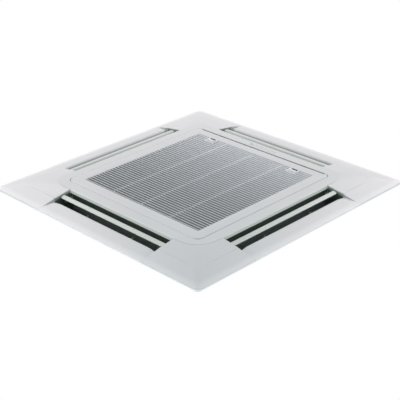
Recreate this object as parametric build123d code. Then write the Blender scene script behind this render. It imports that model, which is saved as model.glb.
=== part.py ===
from build123d import *
import math
import os

# Four-way ceiling cassette air conditioner, face down as it hangs. Millimetres.
# +Z points up, away from the room. The origin is the middle of the ceiling opening, level
# with the ceiling's lower face: the panel lies below z = 0 and the body above it.
# Sizes along the panel's face are distances "a" out from its middle. Heights "h" on the
# panel are measured down into the room. The hinge of the grille is at the front (-Y).

# ---- decoration panel -------------------------------------------------------------------
PANEL_HALF = 475.0          # outer edge of the rim
RIM_H = 6.8                 # side wall of the rim
BREAK_HALF = 407.0          # where the outer slope turns into the gentler inner one
BREAK_H = 22.0
PLATEAU_HALF = 344.0
PLATEAU_H = 32.0
PLATEAU_R = 75.0
COVER_TOP_H = 31.5
WALL = 2.4                  # moulded wall thickness
GASKET_T = 1.2
SLOT_HALF = 243.0           # half of an air slot's length
DUCT_IN = 334.0             # inner and outer wall of the air outlet
DUCT_OUT = 402.0
DUCT_TOP = 6.0              # the outlet's wall stands this far above the ceiling face
SEAT_H = 3.6                # plate under the corner covers
LINING_T = 1.2              # foam on the outlet's inner wall
LIP_CENTRE = (418.13, 1.6)  # centre of the round lip on the outer side of a slot
LIP_R = 14.13
LIP_SINK = ((210.0, 0.0), (228.0, 1.6), (243.0, 3.75))      # lip drops towards a strip's end

# ---- intake grille ----------------------------------------------------------------------
GRILLE_HALF = 304.6
POCKET_HALF = 305.6
POCKET_R = 20.0             # tighter than the grille's corner, so that it can swing past
GRILLE_R = 22.0
GRILLE_H = 33.0
GRILLE_DEPTH = 13.0
REBATE_Y = 297.6            # finger groove along the grille's rear edge
REBATE_DEPTH = 5.0
SLAT_FIELD_HALF = 264.0
SLAT_PITCH = 12.0
SLAT_T = 2.4
MULLION_X = (-132.0, 0.0, 132.0)
MULLION_W = 5.0
MULLION_Z = -28.0           # cross ribs stand back from the slats' fronts
LATCH_X = 190.0
HINGE_X = 180.0
HINGE_Y = -287.0
HINGE_Z = -27.5
HINGE_PIN_R = 2.0

# ---- air vanes --------------------------------------------------------------------------
VANE_HALF = 239.0
# blade's section at rest as (a, h): inner edge, bend and outer edge, on its face and its back
VANE_FACE = ((355.0, 2.5), (370.5, 23.6), (387.2, 19.6))
VANE_BACK = ((356.8, 1.2), (371.4, 21.1), (386.7, 17.5))
VANE_PIVOT = (365.0, 1.0)
JOURNAL_R = 3.0
RUNNING_GAP = 0.05

# ---- body above the ceiling -------------------------------------------------------------
BODY_HALF = 420.0
BODY_CHAMFER = 140.0
BODY_BOTTOM = 12.0
BODY_TOP = 254.0
SHEET_T = 1.2
PAN_TOP = 62.0
PAN_OPEN = 252.0
COIL_OUT = 318.0
COIL_IN = 280.0
COIL_R = 62.0
COIL_Z = (40.0, 236.0)
COIL_GAP = 262.0            # the coil is open at the left rear corner past this
FAN_R = 232.0
FAN_INLET_R = 155.0
FAN_Z = (84.0, 203.0)
FAN_BLADES = 7
SHAFT_R = 6.0
PLATE_Z = 44.4              # top of the bell mouth's plate
BELL_R = 178.0
THROAT_R = 150.0
HANGER_X = 390.0
HANGER_Y = 340.0
HANGER_Z = 120.0
PANEL_SCREW = 330.0
CORNER_MID = 350.0          # middle of a chamfered corner, in x and y
PIPE_S = 28.0               # pipes and drain, along the left rear corner face from its middle
GAS_Z = 200.0
LIQUID_Z = 165.0
DRAIN_S = 72.0
DRAIN_Z = 108.0

os.makedirs("parts", exist_ok=True)
SIDES = {"front": 0, "right": 1, "rear": 2, "left": 3}


# ---- small helpers ----------------------------------------------------------------------
def block(x0, x1, y0, y1, z0, z1):
    middle = Pos((x0 + x1) / 2, (y0 + y1) / 2, (z0 + z1) / 2)
    return middle * Box(abs(x1 - x0), abs(y1 - y0), abs(z1 - z0))


def square(half, r, z):
    return Pos(0, 0, z) * RectangleRounded(2 * half, 2 * half, r)


def prism(half, r, z0, z1):
    return extrude(square(half, r, z0), amount=z1 - z0, dir=(0, 0, 1))


def ring(outer, outer_r, inner, inner_r, z0, z1):
    return prism(outer, outer_r, z0, z1) - prism(inner, inner_r, z0 - 1, z1 + 1)


def rod(x, y, r, z0, z1):
    return Pos(x, y, (z0 + z1) / 2) * Cylinder(r, z1 - z0)


def tube(x, y, r, bore, z0, z1):
    return rod(x, y, r, z0, z1) - rod(x, y, bore, z0 - 1, z1 + 1)


def rod_x(x0, x1, y, z, r):
    return Pos((x0 + x1) / 2, y, z) * Rot(0, 90, 0) * Cylinder(r, abs(x1 - x0))


def side_section(x0, start, *moves):
    """A closed face at x0 on the front side, from (a, h) points. A pair of points in the
    list is an arc's middle and end."""
    def place(point):
        return Vector(x0, -point[0], -point[1])
    edges = []
    here = start
    for move in moves + (start,):
        if isinstance(move[0], tuple):
            edges.append(Edge.make_three_point_arc(place(here), place(move[0]), place(move[1])))
            here = move[1]
        elif math.dist(here, move) > 0.001:
            edges.append(Edge.make_line(place(here), place(move)))
            here = move
    return Face(Wire(edges))


def side_bar(x0, x1, start, *moves):
    return extrude(side_section(x0, start, *moves), amount=x1 - x0, dir=(1, 0, 0))


def at_side(shape, side):
    return Rot(0, 0, 90 * SIDES[side]) * shape


def four_sides(shape):
    return [at_side(shape, side) for side in SIDES]


def octagon(half, chamfer, z0, z1):
    k = half - chamfer
    points = [(half, -k), (half, k), (k, half), (-k, half),
              (-half, k), (-half, -k), (-k, -half), (k, -half)]
    face = Face(Wire.make_polygon([(x, y, z0) for x, y in points], close=True))
    return extrude(face, amount=z1 - z0, dir=(0, 0, 1))


def on_lip(radius, degrees, sink=0.0):
    """A point on the lip's round; sink moves the round out and back from the room."""
    angle = math.radians(degrees)
    return (LIP_CENTRE[0] + sink + radius * math.cos(angle),
            LIP_CENTRE[1] - sink + radius * math.sin(angle))


def save(name, *solids):
    shape = solids[0] if len(solids) == 1 else Compound(children=list(solids))
    export_step(shape, f"parts/{name}.step")


# ---- panel frame ------------------------------------------------------------------------
def roof(drop):
    """The sloping outside of the panel as one solid, or its inside at a wall's thickness."""
    inset = 0.0 if drop == 0 else WALL
    sections = [square(PANEL_HALF - inset, 16 - inset, -GASKET_T),
                square(PANEL_HALF - inset, 16 - inset, -(RIM_H + 0.22 * inset - drop)),
                square(BREAK_HALF - 0.1 * inset, 13, -(BREAK_H - drop)),
                square(PLATEAU_HALF, 10, -(COVER_TOP_H - drop))]
    return loft(sections, ruled=True)


def strip_section(x, sink):
    """Section of the rim strip: side wall, gentle slope, round lip and the outlet's wall."""
    t = WALL
    tangent = 82.4
    return side_section(x, (PANEL_HALF, GASKET_T), (PANEL_HALF, RIM_H), (459, 10.4),
                        on_lip(LIP_R, tangent, sink),
                        (on_lip(LIP_R, 131, sink), on_lip(LIP_R, 180, sink)),
                        (DUCT_OUT, -DUCT_TOP), (DUCT_OUT + t, -DUCT_TOP),
                        on_lip(LIP_R - t, 180, sink),
                        (on_lip(LIP_R - t, 131, sink), on_lip(LIP_R - t, tangent, sink)),
                        (459, 10.4 - t), (PANEL_HALF - t, RIM_H - 2.0), (PANEL_HALF - t, GASKET_T))


def outer_strip():
    """Rim between two corner covers. Its lip sinks a little before it meets them."""
    straight = LIP_SINK[0][0]
    strip = extrude(strip_section(-straight, 0.0), amount=2 * straight, dir=(1, 0, 0))
    end = loft([strip_section(x, sink) for x, sink in LIP_SINK], ruled=True)
    foot = block(-SLOT_HALF, SLOT_HALF, -PANEL_HALF + 1, -PANEL_HALF + 21,
                 -GASKET_T - WALL, -GASKET_T)
    return strip + end + mirror(end, Plane.YZ) + foot


def slot_ribs():
    """Two thin ribs deep in the outer half of a slot."""
    return [side_bar(x - 1, x + 1, (384, -1), (405, -1), (405, -DUCT_TOP), (384, -DUCT_TOP))
            for x in (-105, 105)]


def inner_wall():
    """Plateau's round edge over a slot, and the outlet's inner wall set back under it."""
    t = WALL
    edge = side_bar(-SLOT_HALF, SLOT_HALF,
                    (334, PLATEAU_H), (339, PLATEAU_H), ((343.3, 30.4), (345, 26)),
                    (346.5, 21.5), (332, 21.5), (332, 23.9), (344, 23.9), (342.6, 26),
                    ((341.6, 28.7), (338.8, 29.6)), (334, 29.6))
    wall = block(-SLOT_HALF - 3, SLOT_HALF + 3, -DUCT_IN, -DUCT_IN + t, -29.6, DUCT_TOP)
    return edge + wall


def hinge_arm(x):
    """Arm that reaches into the grille and carries one hinge pin."""
    eye = rod_x(x - 4.5, x + 4.5, HINGE_Y, HINGE_Z, 3.2)
    upright = block(x - 4.5, x + 4.5, HINGE_Y - 2, HINGE_Y + 1.7, HINGE_Z, -4)
    beam = block(x - 4.5, x + 4.5, -POCKET_HALF - 1, HINGE_Y + 1.7, -8, -4)
    bore = rod_x(x - 6, x + 6, HINGE_Y, HINGE_Z, HINGE_PIN_R + 0.08)
    return eye + upright + beam - bore


def duct_end():
    """End wall of an outlet with the boss that holds a vane's bush or motor collar."""
    a, h = VANE_PIVOT
    wall = block(SLOT_HALF, SLOT_HALF + 3, -405, -331, -SEAT_H, DUCT_TOP)
    boss = rod_x(SLOT_HALF, SLOT_HALF + 3, -a, -h, 7)
    return wall + boss


def panel_frame():
    plateau = prism(PLATEAU_HALF, PLATEAU_R, -PLATEAU_H, -PLATEAU_H + WALL)
    plateau -= prism(POCKET_HALF, POCKET_R, -40, 0)
    skirt = ring(PLATEAU_HALF, PLATEAU_R, PLATEAU_HALF - WALL, PLATEAU_R - WALL,
                 -PLATEAU_H + 1, -GASKET_T)
    pocket = ring(POCKET_HALF + WALL, POCKET_R + WALL, POCKET_HALF, POCKET_R,
                  -PLATEAU_H, DUCT_TOP)
    seat = ring(PANEL_HALF - WALL - 0.8, 12, 236, 10, -SEAT_H, -GASKET_T)
    seat -= prism(POCKET_HALF + 1, POCKET_R, -10, 10)
    a, h = VANE_PIVOT
    for side in SIDES:
        plateau -= at_side(block(-SLOT_HALF, SLOT_HALF, -360, -334, -40, 10), side)
        skirt -= at_side(block(-SLOT_HALF - 3, SLOT_HALF + 3, -360, -334, -40, 10), side)
        seat -= at_side(block(-SLOT_HALF, SLOT_HALF, -DUCT_OUT - 1, -DUCT_IN, -20, 20), side)
        for x in (-226, 226):
            seat -= at_side(block(x - 17, x + 17, -DUCT_OUT - 7.5, -DUCT_OUT, -20, 20), side)
        motor_well = block(SLOT_HALF + 2, SLOT_HALF + 22, -a - 19, -a + 19, -20, 20)
        bush_well = block(-SLOT_HALF - 8, -SLOT_HALF - 2, -a - 8, -a + 8, -20, 20)
        seat -= at_side(motor_well + bush_well, side)
    for x, y in ((1, 1), (1, -1), (-1, 1), (-1, -1)):
        seat -= rod(x * PANEL_SCREW, y * PANEL_SCREW, 3, -10, 10)
    frame = plateau + skirt + pocket + seat
    for side in SIDES:
        frame += at_side(outer_strip(), side)
        frame += at_side(inner_wall(), side)
        frame += at_side(duct_end(), side)
        frame += at_side(mirror(duct_end(), Plane.YZ), side)
        for rib in slot_ribs():
            frame += at_side(rib, side)
        bore = rod_x(-SLOT_HALF - 10, SLOT_HALF + 10, -a, -h, 4.5)
        frame -= at_side(bore, side)
    for x in (-HINGE_X, HINGE_X):
        frame += hinge_arm(x)
    for x in (-LATCH_X, LATCH_X):
        frame -= block(x - 9, x + 9, POCKET_HALF - 2, POCKET_HALF + 6, -28.4, -23)
    frame -= block(-52, 72, 313, 329, -40, -29)
    return frame


def corner_cover():
    """Cover over the right rear corner, with its end walls and two feet."""
    shell = roof(0) - roof(WALL)
    reach = PANEL_HALF + 5
    region = block(SLOT_HALF + 0.4, reach, SLOT_HALF + 0.4, reach, -40, 0)
    region -= prism(PLATEAU_HALF + 0.4, PLATEAU_R + 0.4, -50, 10)
    cover = shell & region
    outside = roof(0)
    near, far = SLOT_HALF + 0.4, SLOT_HALF + 0.4 + WALL
    top = -SEAT_H - 0.3
    end_x = block(near, far, PLATEAU_HALF + 0.4, PANEL_HALF - WALL - 0.2, -40, top) & outside
    end_y = block(PLATEAU_HALF + 0.4, PANEL_HALF - WALL - 0.2, near, far, -40, top) & outside
    a, h = VANE_PIVOT
    clear = rod_x(near - 5, far + 5, a, -h, 8.5)
    end_x -= clear
    end_y -= mirror(clear, Plane(origin=(0, 0, 0), z_dir=(1, -1, 0)))
    cover += end_x
    cover += end_y
    for x, y in ((440, 310), (310, 440), (400, 400)):
        cover += rod(x, y, 5, -40, -SEAT_H) & outside
    return cover


def rim_gasket():
    return ring(PANEL_HALF - 1.5, 14, PANEL_HALF - 20, 6, -GASKET_T, 0)


def cover_h(a):
    """Height of the corner covers' outside on the inner slope."""
    return COVER_TOP_H - (a - PLATEAU_HALF) * (COVER_TOP_H - BREAK_H) / (BREAK_HALF - PLATEAU_HALF)


def end_linings():
    """Foam on the wall at the right end of a slot, in three pieces round the vane's journal."""
    x0, x1 = SLOT_HALF - 1.1, SLOT_HALF
    low = -DUCT_TOP + 0.2
    a0, a1, a2, a3 = PLATEAU_HALF + 2.9, 360.3, 369.7, 407.0
    return [side_bar(x0, x1, (a0, low), (a0, cover_h(a0) - 0.6), (a1, cover_h(a1) - 0.6), (a1, low)),
            side_bar(x0, x1, (a1, 6), (a1, cover_h(a1) - 0.6), (a2, cover_h(a2) - 0.6), (a2, 6)),
            side_bar(x0, x1, (a2, low), (a2, cover_h(a2) - 0.6), (a3, cover_h(a3) - 0.6),
                     (a3, -1.8), (401.6, low))]


def outlet_seals():
    """Foam strips round each outlet, between panel and body, and linings on its walls."""
    end = SLOT_HALF + 2.9
    z0, z1 = DUCT_TOP, BODY_BOTTOM
    strips = [block(-end, end, -DUCT_OUT - 9, -DUCT_OUT, z0, z1),
              block(-end, end, -DUCT_IN, -DUCT_IN + 9, z0, z1),
              block(-end, -SLOT_HALF, -DUCT_OUT + 0.1, -DUCT_IN - 0.1, z0, z1),
              block(SLOT_HALF, end, -DUCT_OUT + 0.1, -DUCT_IN - 0.1, z0, z1),
              block(-SLOT_HALF + 0.2, SLOT_HALF - 0.2, -DUCT_IN - LINING_T, -DUCT_IN,
                    -21.3, DUCT_TOP)]
    for lining in end_linings():
        strips += [lining, mirror(lining, Plane.YZ)]
    return [strip for part in strips for strip in four_sides(part)]


def panel_screws():
    screws = []
    for x, y in ((1, 1), (1, -1), (-1, 1), (-1, -1)):
        cx, cy = x * PANEL_SCREW, y * PANEL_SCREW
        head = Pos(cx, cy, -SEAT_H - 1.2 - 4) * extrude(RegularPolygon(4.6, 6), amount=4)
        washer = rod(cx, cy, 7.5, -SEAT_H - 1.2, -SEAT_H)
        shank = rod(cx, cy, 2.4, -SEAT_H - 1.2, BODY_BOTTOM + 8)
        screws.append(head + washer + shank)
    return screws


# ---- intake grille ----------------------------------------------------------------------
def slat_field():
    """All slats as one face with a slot for each gap, and three cross ribs set back in them."""
    half = SLAT_FIELD_HALF + 1
    z = -GRILLE_H + 0.4
    outer = Wire.make_polygon([(-half, -half, z), (half, -half, z), (half, half, z),
                               (-half, half, z)], close=True)
    x0, x1 = -SLAT_FIELD_HALF, SLAT_FIELD_HALF
    slats = int(round(2 * SLAT_FIELD_HALF / SLAT_PITCH))
    gaps = []
    for i in range(slats + 1):
        middle = -SLAT_FIELD_HALF + i * SLAT_PITCH
        y0 = max(middle - (SLAT_PITCH - SLAT_T) / 2, -SLAT_FIELD_HALF)
        y1 = min(middle + (SLAT_PITCH - SLAT_T) / 2, SLAT_FIELD_HALF)
        gaps.append(Wire.make_polygon([(x0, y0, z), (x1, y0, z), (x1, y1, z), (x0, y1, z)],
                                      close=True))
    field = extrude(Face(outer, gaps), amount=GRILLE_DEPTH - 1.4, dir=(0, 0, 1))
    for x in MULLION_X:
        field += block(x - MULLION_W / 2, x + MULLION_W / 2, -half, half, MULLION_Z, z + 11.6)
    return field


def latch_pocket(x):
    """Flat place around a latch tab, which takes the slats' room there."""
    return block(x - 19, x + 19, 236, SLAT_FIELD_HALF + 1, -GRILLE_H + 0.2, -GRILLE_H + 2)


def intake_grille():
    face = -GRILLE_H
    back = -GRILLE_H + GRILLE_DEPTH
    body = prism(GRILLE_HALF, GRILLE_R, face, back)
    rim_edges = body.edges().filter_by_position(Axis.Z, face, face)
    body = fillet(rim_edges, 1.6)
    body -= prism(GRILLE_HALF - 2.2, GRILLE_R - 2.2, face + 2, back + 1)
    body -= prism(SLAT_FIELD_HALF, 4, face - 1, back + 1)
    inner = ring(SLAT_FIELD_HALF + 2, 5, SLAT_FIELD_HALF, 4, face + 1, back)
    body = body + inner + slat_field()
    for x in (-LATCH_X, LATCH_X):
        body -= block(x - 19, x + 19, 236, SLAT_FIELD_HALF - 0.5, face - 1, back + 1)
        body += latch_pocket(x)
        body -= block(x - 13, x + 13, 248.4, 260, face - 1, back + 1)
    body -= block(-285, 285, REBATE_Y, GRILLE_HALF + 1, face - 1, face + REBATE_DEPTH)
    body += block(-286, 286, REBATE_Y - 2, REBATE_Y, face + 1, face + REBATE_DEPTH + 1.8)
    body += block(-286, 286, REBATE_Y - 2, GRILLE_HALF - 1, face + REBATE_DEPTH,
                  face + REBATE_DEPTH + 1.8)
    for x in (-LATCH_X, LATCH_X):
        body -= block(x - 10.6, x + 10.6, 240, GRILLE_HALF + 1, face + 2.1, face + 7.1)
    for x in (-HINGE_X, HINGE_X):
        body -= block(x - 5.1, x + 5.1, -GRILLE_HALF - 1, -GRILLE_HALF + 3, face + 2.1, back + 1)
        for x0, x1 in ((x - 11, x - 5.1), (x + 5.1, x + 11)):
            lug = rod_x(x0, x1, HINGE_Y, HINGE_Z, 4) + block(x0, x1, HINGE_Y - 4, HINGE_Y + 4,
                                                             face + 1.5, HINGE_Z)
            body += lug
        body -= rod_x(x - 11.5, x + 11.5, HINGE_Y, HINGE_Z, HINGE_PIN_R)
    return body


def grille_hinge_pins():
    return [rod_x(x - 11, x + 11, HINGE_Y, HINGE_Z, HINGE_PIN_R) for x in (-HINGE_X, HINGE_X)]


def latch(x):
    """Sliding latch: a tab on the face, a stem through the slot and a bar behind."""
    face = -GRILLE_H
    tab = block(x - 15, x + 15, 239, 253, face - 1.6, face + 0.1)
    tab = fillet(tab.edges().filter_by(Axis.Z), 2)
    ridge = block(x - 11, x + 11, 241, 243, face - 2.4, face - 1.6)
    stem = block(x - 12, x + 12, 249, 255, face - 0.5, face + 5)
    stem += block(x - 12, x + 12, 249, 255, face - 1.2, face - 0.4)
    bar = block(x - 10, x + 10, 241, GRILLE_HALF - 6, face + 2.8, face + 6.4)
    nose = block(x - 6, x + 6, GRILLE_HALF - 8, GRILLE_HALF, face + 5, face + 6.9)
    return tab + ridge + stem + bar + nose


FILTER_Z = (-GRILLE_H + GRILLE_DEPTH, -GRILLE_H + GRILLE_DEPTH + 4)


def filter_frame():
    z0, z1 = FILTER_Z
    frame = ring(272, 8, 263, 4, z0, z1)
    frame += block(-2, 2, -264, 264, z0, z1)
    frame += block(-264, 264, -2, 2, z0, z1)
    return frame - prism(267, 0.3, z0 + 1.4, z0 + 2.6)


def filter_net():
    """Net clamped in the frame's groove, as one face with square gaps."""
    half = 266.6
    cells = 16
    pitch = 2 * 262.0 / cells
    strand = 3.0
    z = FILTER_Z[0] + 1.5
    outer = Wire.make_polygon([(-half, -half, z), (half, -half, z), (half, half, z),
                               (-half, half, z)], close=True)
    gaps = []
    for i in range(cells):
        for j in range(cells):
            x0 = -262 + i * pitch + strand / 2
            y0 = -262 + j * pitch + strand / 2
            x1 = x0 + pitch - strand
            y1 = y0 + pitch - strand
            gaps.append(Wire.make_polygon([(x0, y0, z), (x1, y0, z), (x1, y1, z), (x0, y1, z)],
                                          close=True))
    return extrude(Face(outer, gaps), amount=1.0, dir=(0, 0, 1))


# ---- air vanes --------------------------------------------------------------------------
def toward(start, end, distance):
    """The point at a distance from start on the line to end."""
    k = distance / math.dist(start, end)
    return (start[0] + k * (end[0] - start[0]), start[1] + k * (end[1] - start[1]))


def rounded(before, corner, after, length):
    """Start, and middle and end, of the arc that rounds a section's corner."""
    start, end = toward(corner, before, length), toward(corner, after, length)
    middle = ((start[0] + end[0]) / 2, (start[1] + end[1]) / 2)
    depth = length * (length - math.dist(start, middle)) / math.dist(corner, middle)
    return start, (toward(corner, middle, depth), end)


def vane():
    """Bent blade with an arm and a journal at each end, as on the front side."""
    inner, bend, outer = VANE_FACE
    back_inner, back_bend, back_outer = VANE_BACK
    inner_tip = (inner[0] + 0.3, inner[1] - 1.5)
    outer_tip = (outer[0] + 0.7, outer[1] - 1.2)
    blade = side_bar(-VANE_HALF, VANE_HALF, inner, *rounded(inner, bend, outer, 5), outer,
                     (outer_tip, back_outer), *rounded(back_outer, back_bend, back_inner, 4),
                     back_inner, (inner_tip, inner))
    a0, a1 = inner[0] - 2, outer[0] + 1
    outline = Pos(0, -(a0 + a1) / 2, -30) * RectangleRounded(2 * VANE_HALF, a1 - a0, 9)
    blade = blade & extrude(outline, amount=30, dir=(0, 0, 1))
    pa, ph = VANE_PIVOT
    result = blade
    for sign in (-1, 1):
        x0, x1 = sorted((sign * (VANE_HALF - 3), sign * VANE_HALF))
        arm = side_bar(x0, x1, toward(back_bend, back_inner, 12), back_bend,
                       toward(back_bend, back_outer, 6), (pa + 5, ph), (pa - 5, ph))
        hub = rod_x(x0, x1, -pa, -ph, 5.5)
        journal = rod_x(sign * (VANE_HALF - 3), sign * (SLOT_HALF + 5), -pa, -ph, JOURNAL_R)
        result = result + arm + hub + journal
    return result


def vane_motor():
    """Stepper at the right end of the front slot; the vane's journal turns in its socket."""
    a, h = VANE_PIVOT
    x0 = SLOT_HALF + 3.2
    can = rod_x(x0, x0 + 16, -a, -h, 12)
    collar = rod_x(SLOT_HALF + 0.2, x0, -a, -h, 4.45)
    ears = block(x0, x0 + 1.6, -a - 17.5, -a + 17.5, -h - 4, -h + 4)
    plug = block(x0 + 3, x0 + 14, -a - 7, -a + 7, -h - 16, -h - 10)
    bore = rod_x(SLOT_HALF - 5, SLOT_HALF + 5.4, -a, -h, JOURNAL_R + RUNNING_GAP)
    return can + collar + ears + plug - bore


def vane_bush():
    """Bush at the left end of the front slot."""
    a, h = VANE_PIVOT
    bush = rod_x(-SLOT_HALF - 6, -SLOT_HALF - 0.1, -a, -h, 4.45)
    flange = rod_x(-SLOT_HALF - 6, -SLOT_HALF - 3.1, -a, -h, 6.5)
    return bush + flange - rod_x(-SLOT_HALF - 7, -SLOT_HALF + 1, -a, -h, JOURNAL_R + RUNNING_GAP)


# ---- receiver and lamps -----------------------------------------------------------------
RECEIVER_X = (-52.0, 72.0)
RECEIVER_Y = (313.0, 329.0)
LENSES = ((60.0, 323.6, 4.0), (40.0, 326.2, 1.8), (18.0, 326.2, 1.8), (-4.0, 326.2, 1.8),
          (-34.0, 326.2, 1.8))


def receiver_housing():
    x0, x1 = RECEIVER_X
    y0, y1 = RECEIVER_Y
    shell = block(x0 - 2, x1 + 2, y0 - 2, y1 + 2, -PLATEAU_H + WALL, -14)
    return shell - block(x0, x1, y0, y1, -PLATEAU_H, -16)


def receiver_window():
    x0, x1 = RECEIVER_X
    y0, y1 = RECEIVER_Y
    plate = block(x0 + 0.2, x1 - 0.2, y0 + 0.2, y1 - 0.2, -PLATEAU_H - 0.2, -PLATEAU_H + 1.6)
    plate = fillet(plate.edges().filter_by(Axis.Z), 3)
    for x, y, r in LENSES:
        plate -= rod(x, y, r + 0.05, -40, 0)
    return plate


def indicator_lamps():
    """The receiver's round lens and four lamps."""
    return [rod(x, y, r, -PLATEAU_H - 0.3, -24) for x, y, r in LENSES]


# ---- casing -----------------------------------------------------------------------------
def casing_wall():
    """Four side sheets and four corner sheets; each corner has a tab with a welded nut."""
    wall = octagon(BODY_HALF, BODY_CHAMFER, BODY_BOTTOM, BODY_TOP)
    cut = BODY_CHAMFER - SHEET_T * 0.5858
    wall -= octagon(BODY_HALF - SHEET_T, cut, BODY_BOTTOM - 1, BODY_TOP + 1)
    inside = octagon(BODY_HALF - 0.2, BODY_CHAMFER - 0.1, BODY_BOTTOM, BODY_BOTTOM + SHEET_T)
    for x, y in ((1, 1), (1, -1), (-1, 1), (-1, -1)):
        tab = block(*sorted((x * 312, x * 420)), *sorted((y * 312, y * 420)),
                    BODY_BOTTOM, BODY_BOTTOM + SHEET_T) & inside
        cx, cy = x * PANEL_SCREW, y * PANEL_SCREW
        nut = rod(cx, cy, 6, BODY_BOTTOM, BODY_BOTTOM + 5)
        wall = wall + tab + nut - rod(cx, cy, 2.5, 0, 40)
    for s, z, r in ((PIPE_S, GAS_Z, 8.6), (PIPE_S, LIQUID_Z, 5.4), (DRAIN_S, DRAIN_Z, 16.4)):
        wall -= through_corner(s, z, r, -12, 12)
    wall -= cable_hole(9.0)
    edge = BODY_HALF - BODY_CHAMFER
    return [wall & part for part in sides_and_corners(edge - 0.1, edge + 0.1)]


def sides_and_corners(side_end, corner_start):
    """Four blocks round the sides and four at the corners, to part a wall into sheets."""
    far = BODY_HALF + 10
    side = block(-side_end, side_end, -far, -300, 0, 300)
    corner = block(corner_start, far, -far, -corner_start, 0, 300)
    return four_sides(side) + four_sides(corner)


def through_corner(s, z, r, n0, n1):
    """A rod through the left rear corner face, s along the face and n out of it."""
    k = math.sqrt(0.5)
    n = (n0 + n1) / 2
    x = -CORNER_MID + k * s - k * n
    y = CORNER_MID + k * s + k * n
    return Pos(x, y, z) * Rot(0, 0, 135) * Rot(0, 90, 0) * Cylinder(r, n1 - n0)


def cable_hole(r):
    return Pos(BODY_HALF, -200, 90) * Rot(0, 90, 0) * Cylinder(r, 12)


def top_plate():
    plate = octagon(BODY_HALF + 1.2, BODY_CHAMFER + 0.7, BODY_TOP, BODY_TOP + SHEET_T)
    skirt = octagon(BODY_HALF + 1.2, BODY_CHAMFER + 0.7, BODY_TOP - 12, BODY_TOP)
    skirt -= octagon(BODY_HALF + 0.05, BODY_CHAMFER, BODY_TOP - 13, BODY_TOP + 1)
    plate += skirt
    for angle in range(0, 360, 45):
        bar = Pos(235, 0, BODY_TOP + SHEET_T + 1.2) * Box(220, 16, 2.4)
        bar = chamfer(bar.edges().group_by(Axis.Z)[-1], 1.6)
        plate += Rot(0, 0, angle) * bar
    boss = Pos(0, 0, BODY_TOP + SHEET_T) * Cylinder(100, 5, align=(Align.CENTER, Align.CENTER, Align.MIN))
    return plate + chamfer(boss.edges().group_by(Axis.Z)[-1], 2.5)


def hanger_bracket():
    """Bracket on the right rear corner: a plate on the corner face and a slotted shelf."""
    k = math.sqrt(0.5)
    foot_x = HANGER_X - 15
    foot_y = HANGER_Y - 15
    frame = Pos(foot_x, foot_y, 0) * Rot(0, 0, 45)
    upright = frame * block(0, 2.5, -30, 30, HANGER_Z - 22, HANGER_Z + 40)
    shelf = frame * block(0, 44, -30, 30, HANGER_Z, HANGER_Z + 2.5)
    for y in (-30, 27.5):
        gusset = Face(Wire.make_polygon([(2, y, HANGER_Z + 2), (34, y, HANGER_Z + 2),
                                         (2, y, HANGER_Z + 36)], close=True))
        upright += frame * extrude(gusset, amount=2.5, dir=(0, 1, 0))
    slot = Pos(HANGER_X, HANGER_Y, HANGER_Z) * extrude(SlotOverall(28, 12), amount=10, both=True)
    return upright + shelf - slot


def foam_lining():
    """Foam slabs inside the casing: one on each side and a block in each corner."""
    gap = 0.3
    cut = BODY_CHAMFER - SHEET_T * 0.5858
    foam = octagon(BODY_HALF - SHEET_T - gap, cut, BODY_BOTTOM + SHEET_T + 0.2, 250)
    foam -= block(-337, 337, -337, 337, 0, 300)
    for side in SIDES:
        foam -= at_side(block(-SLOT_HALF - 2, SLOT_HALF + 2, -DUCT_OUT, -300, 0, 300), side)
    for x, y in ((1, 1), (1, -1), (-1, 1), (-1, -1)):
        foam -= rod(x * PANEL_SCREW, y * PANEL_SCREW, 12, 0, 40)
    foam -= block(-400, -250, 250, 400, PAN_TOP + 2, 300) & octagon(BODY_HALF - 12, BODY_CHAMFER, 0, 300)
    for s, z, r in ((PIPE_S, GAS_Z, 9.5), (PIPE_S, LIQUID_Z, 6.5), (DRAIN_S, DRAIN_Z, 18)):
        foam -= through_corner(s, z, r, -60, 12)
    foam -= Pos(BODY_HALF - 10, -200, 90) * Rot(0, 90, 0) * Cylinder(10, 60)
    return [foam & part for part in sides_and_corners(SLOT_HALF + 1.9, SLOT_HALF + 2)]


# ---- drain pan --------------------------------------------------------------------------
PUMP_AT = (-310.0, 310.0)
FLOAT_AT = (-291.0, 291.0)
DRAIN_AT = (296.0, 296.0)


def drain_pan():
    pan = prism(DUCT_IN - 0.6, 10, BODY_BOTTOM + 0.4, PAN_TOP)
    pan -= prism(PAN_OPEN, 58, 0, PLATE_Z)
    pan -= prism(PAN_OPEN - 6, 52, PLATE_Z - 1, PAN_TOP + 1)
    pan -= ring(COIL_OUT + 5, 20, COIL_IN - 6, 20, 37, PAN_TOP + 1)
    px, py = PUMP_AT
    pan -= rod(px, py, 20, 24, PAN_TOP + 1)
    for x, y in ((1, 1), (1, -1), (-1, 1), (-1, -1)):
        pan -= block(*sorted((x * 311, x * 340)), *sorted((y * 311, y * 340)), 0, 21)
    dx, dy = DRAIN_AT
    pan -= rod(dx, dy, 14, 30, 50)
    return pan - rod(dx, dy, 9, 0, 50)


def drain_plug():
    dx, dy = DRAIN_AT
    plug = rod(dx, dy, 8.9, BODY_BOTTOM + 0.4, 32)
    plug += rod(dx, dy, 12.5, BODY_BOTTOM - 2.6, BODY_BOTTOM + 0.4)
    return plug + rod(dx, dy, 3, BODY_BOTTOM - 8, BODY_BOTTOM - 2)


# ---- heat exchanger ---------------------------------------------------------------------
def fin_pack():
    z0, z1 = COIL_Z
    pack = ring(COIL_OUT, COIL_R, COIL_IN, COIL_R - 38, z0, z1)
    return pack - block(-COIL_OUT - 5, -COIL_GAP, COIL_GAP, COIL_OUT + 5, 0, 300)


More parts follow.
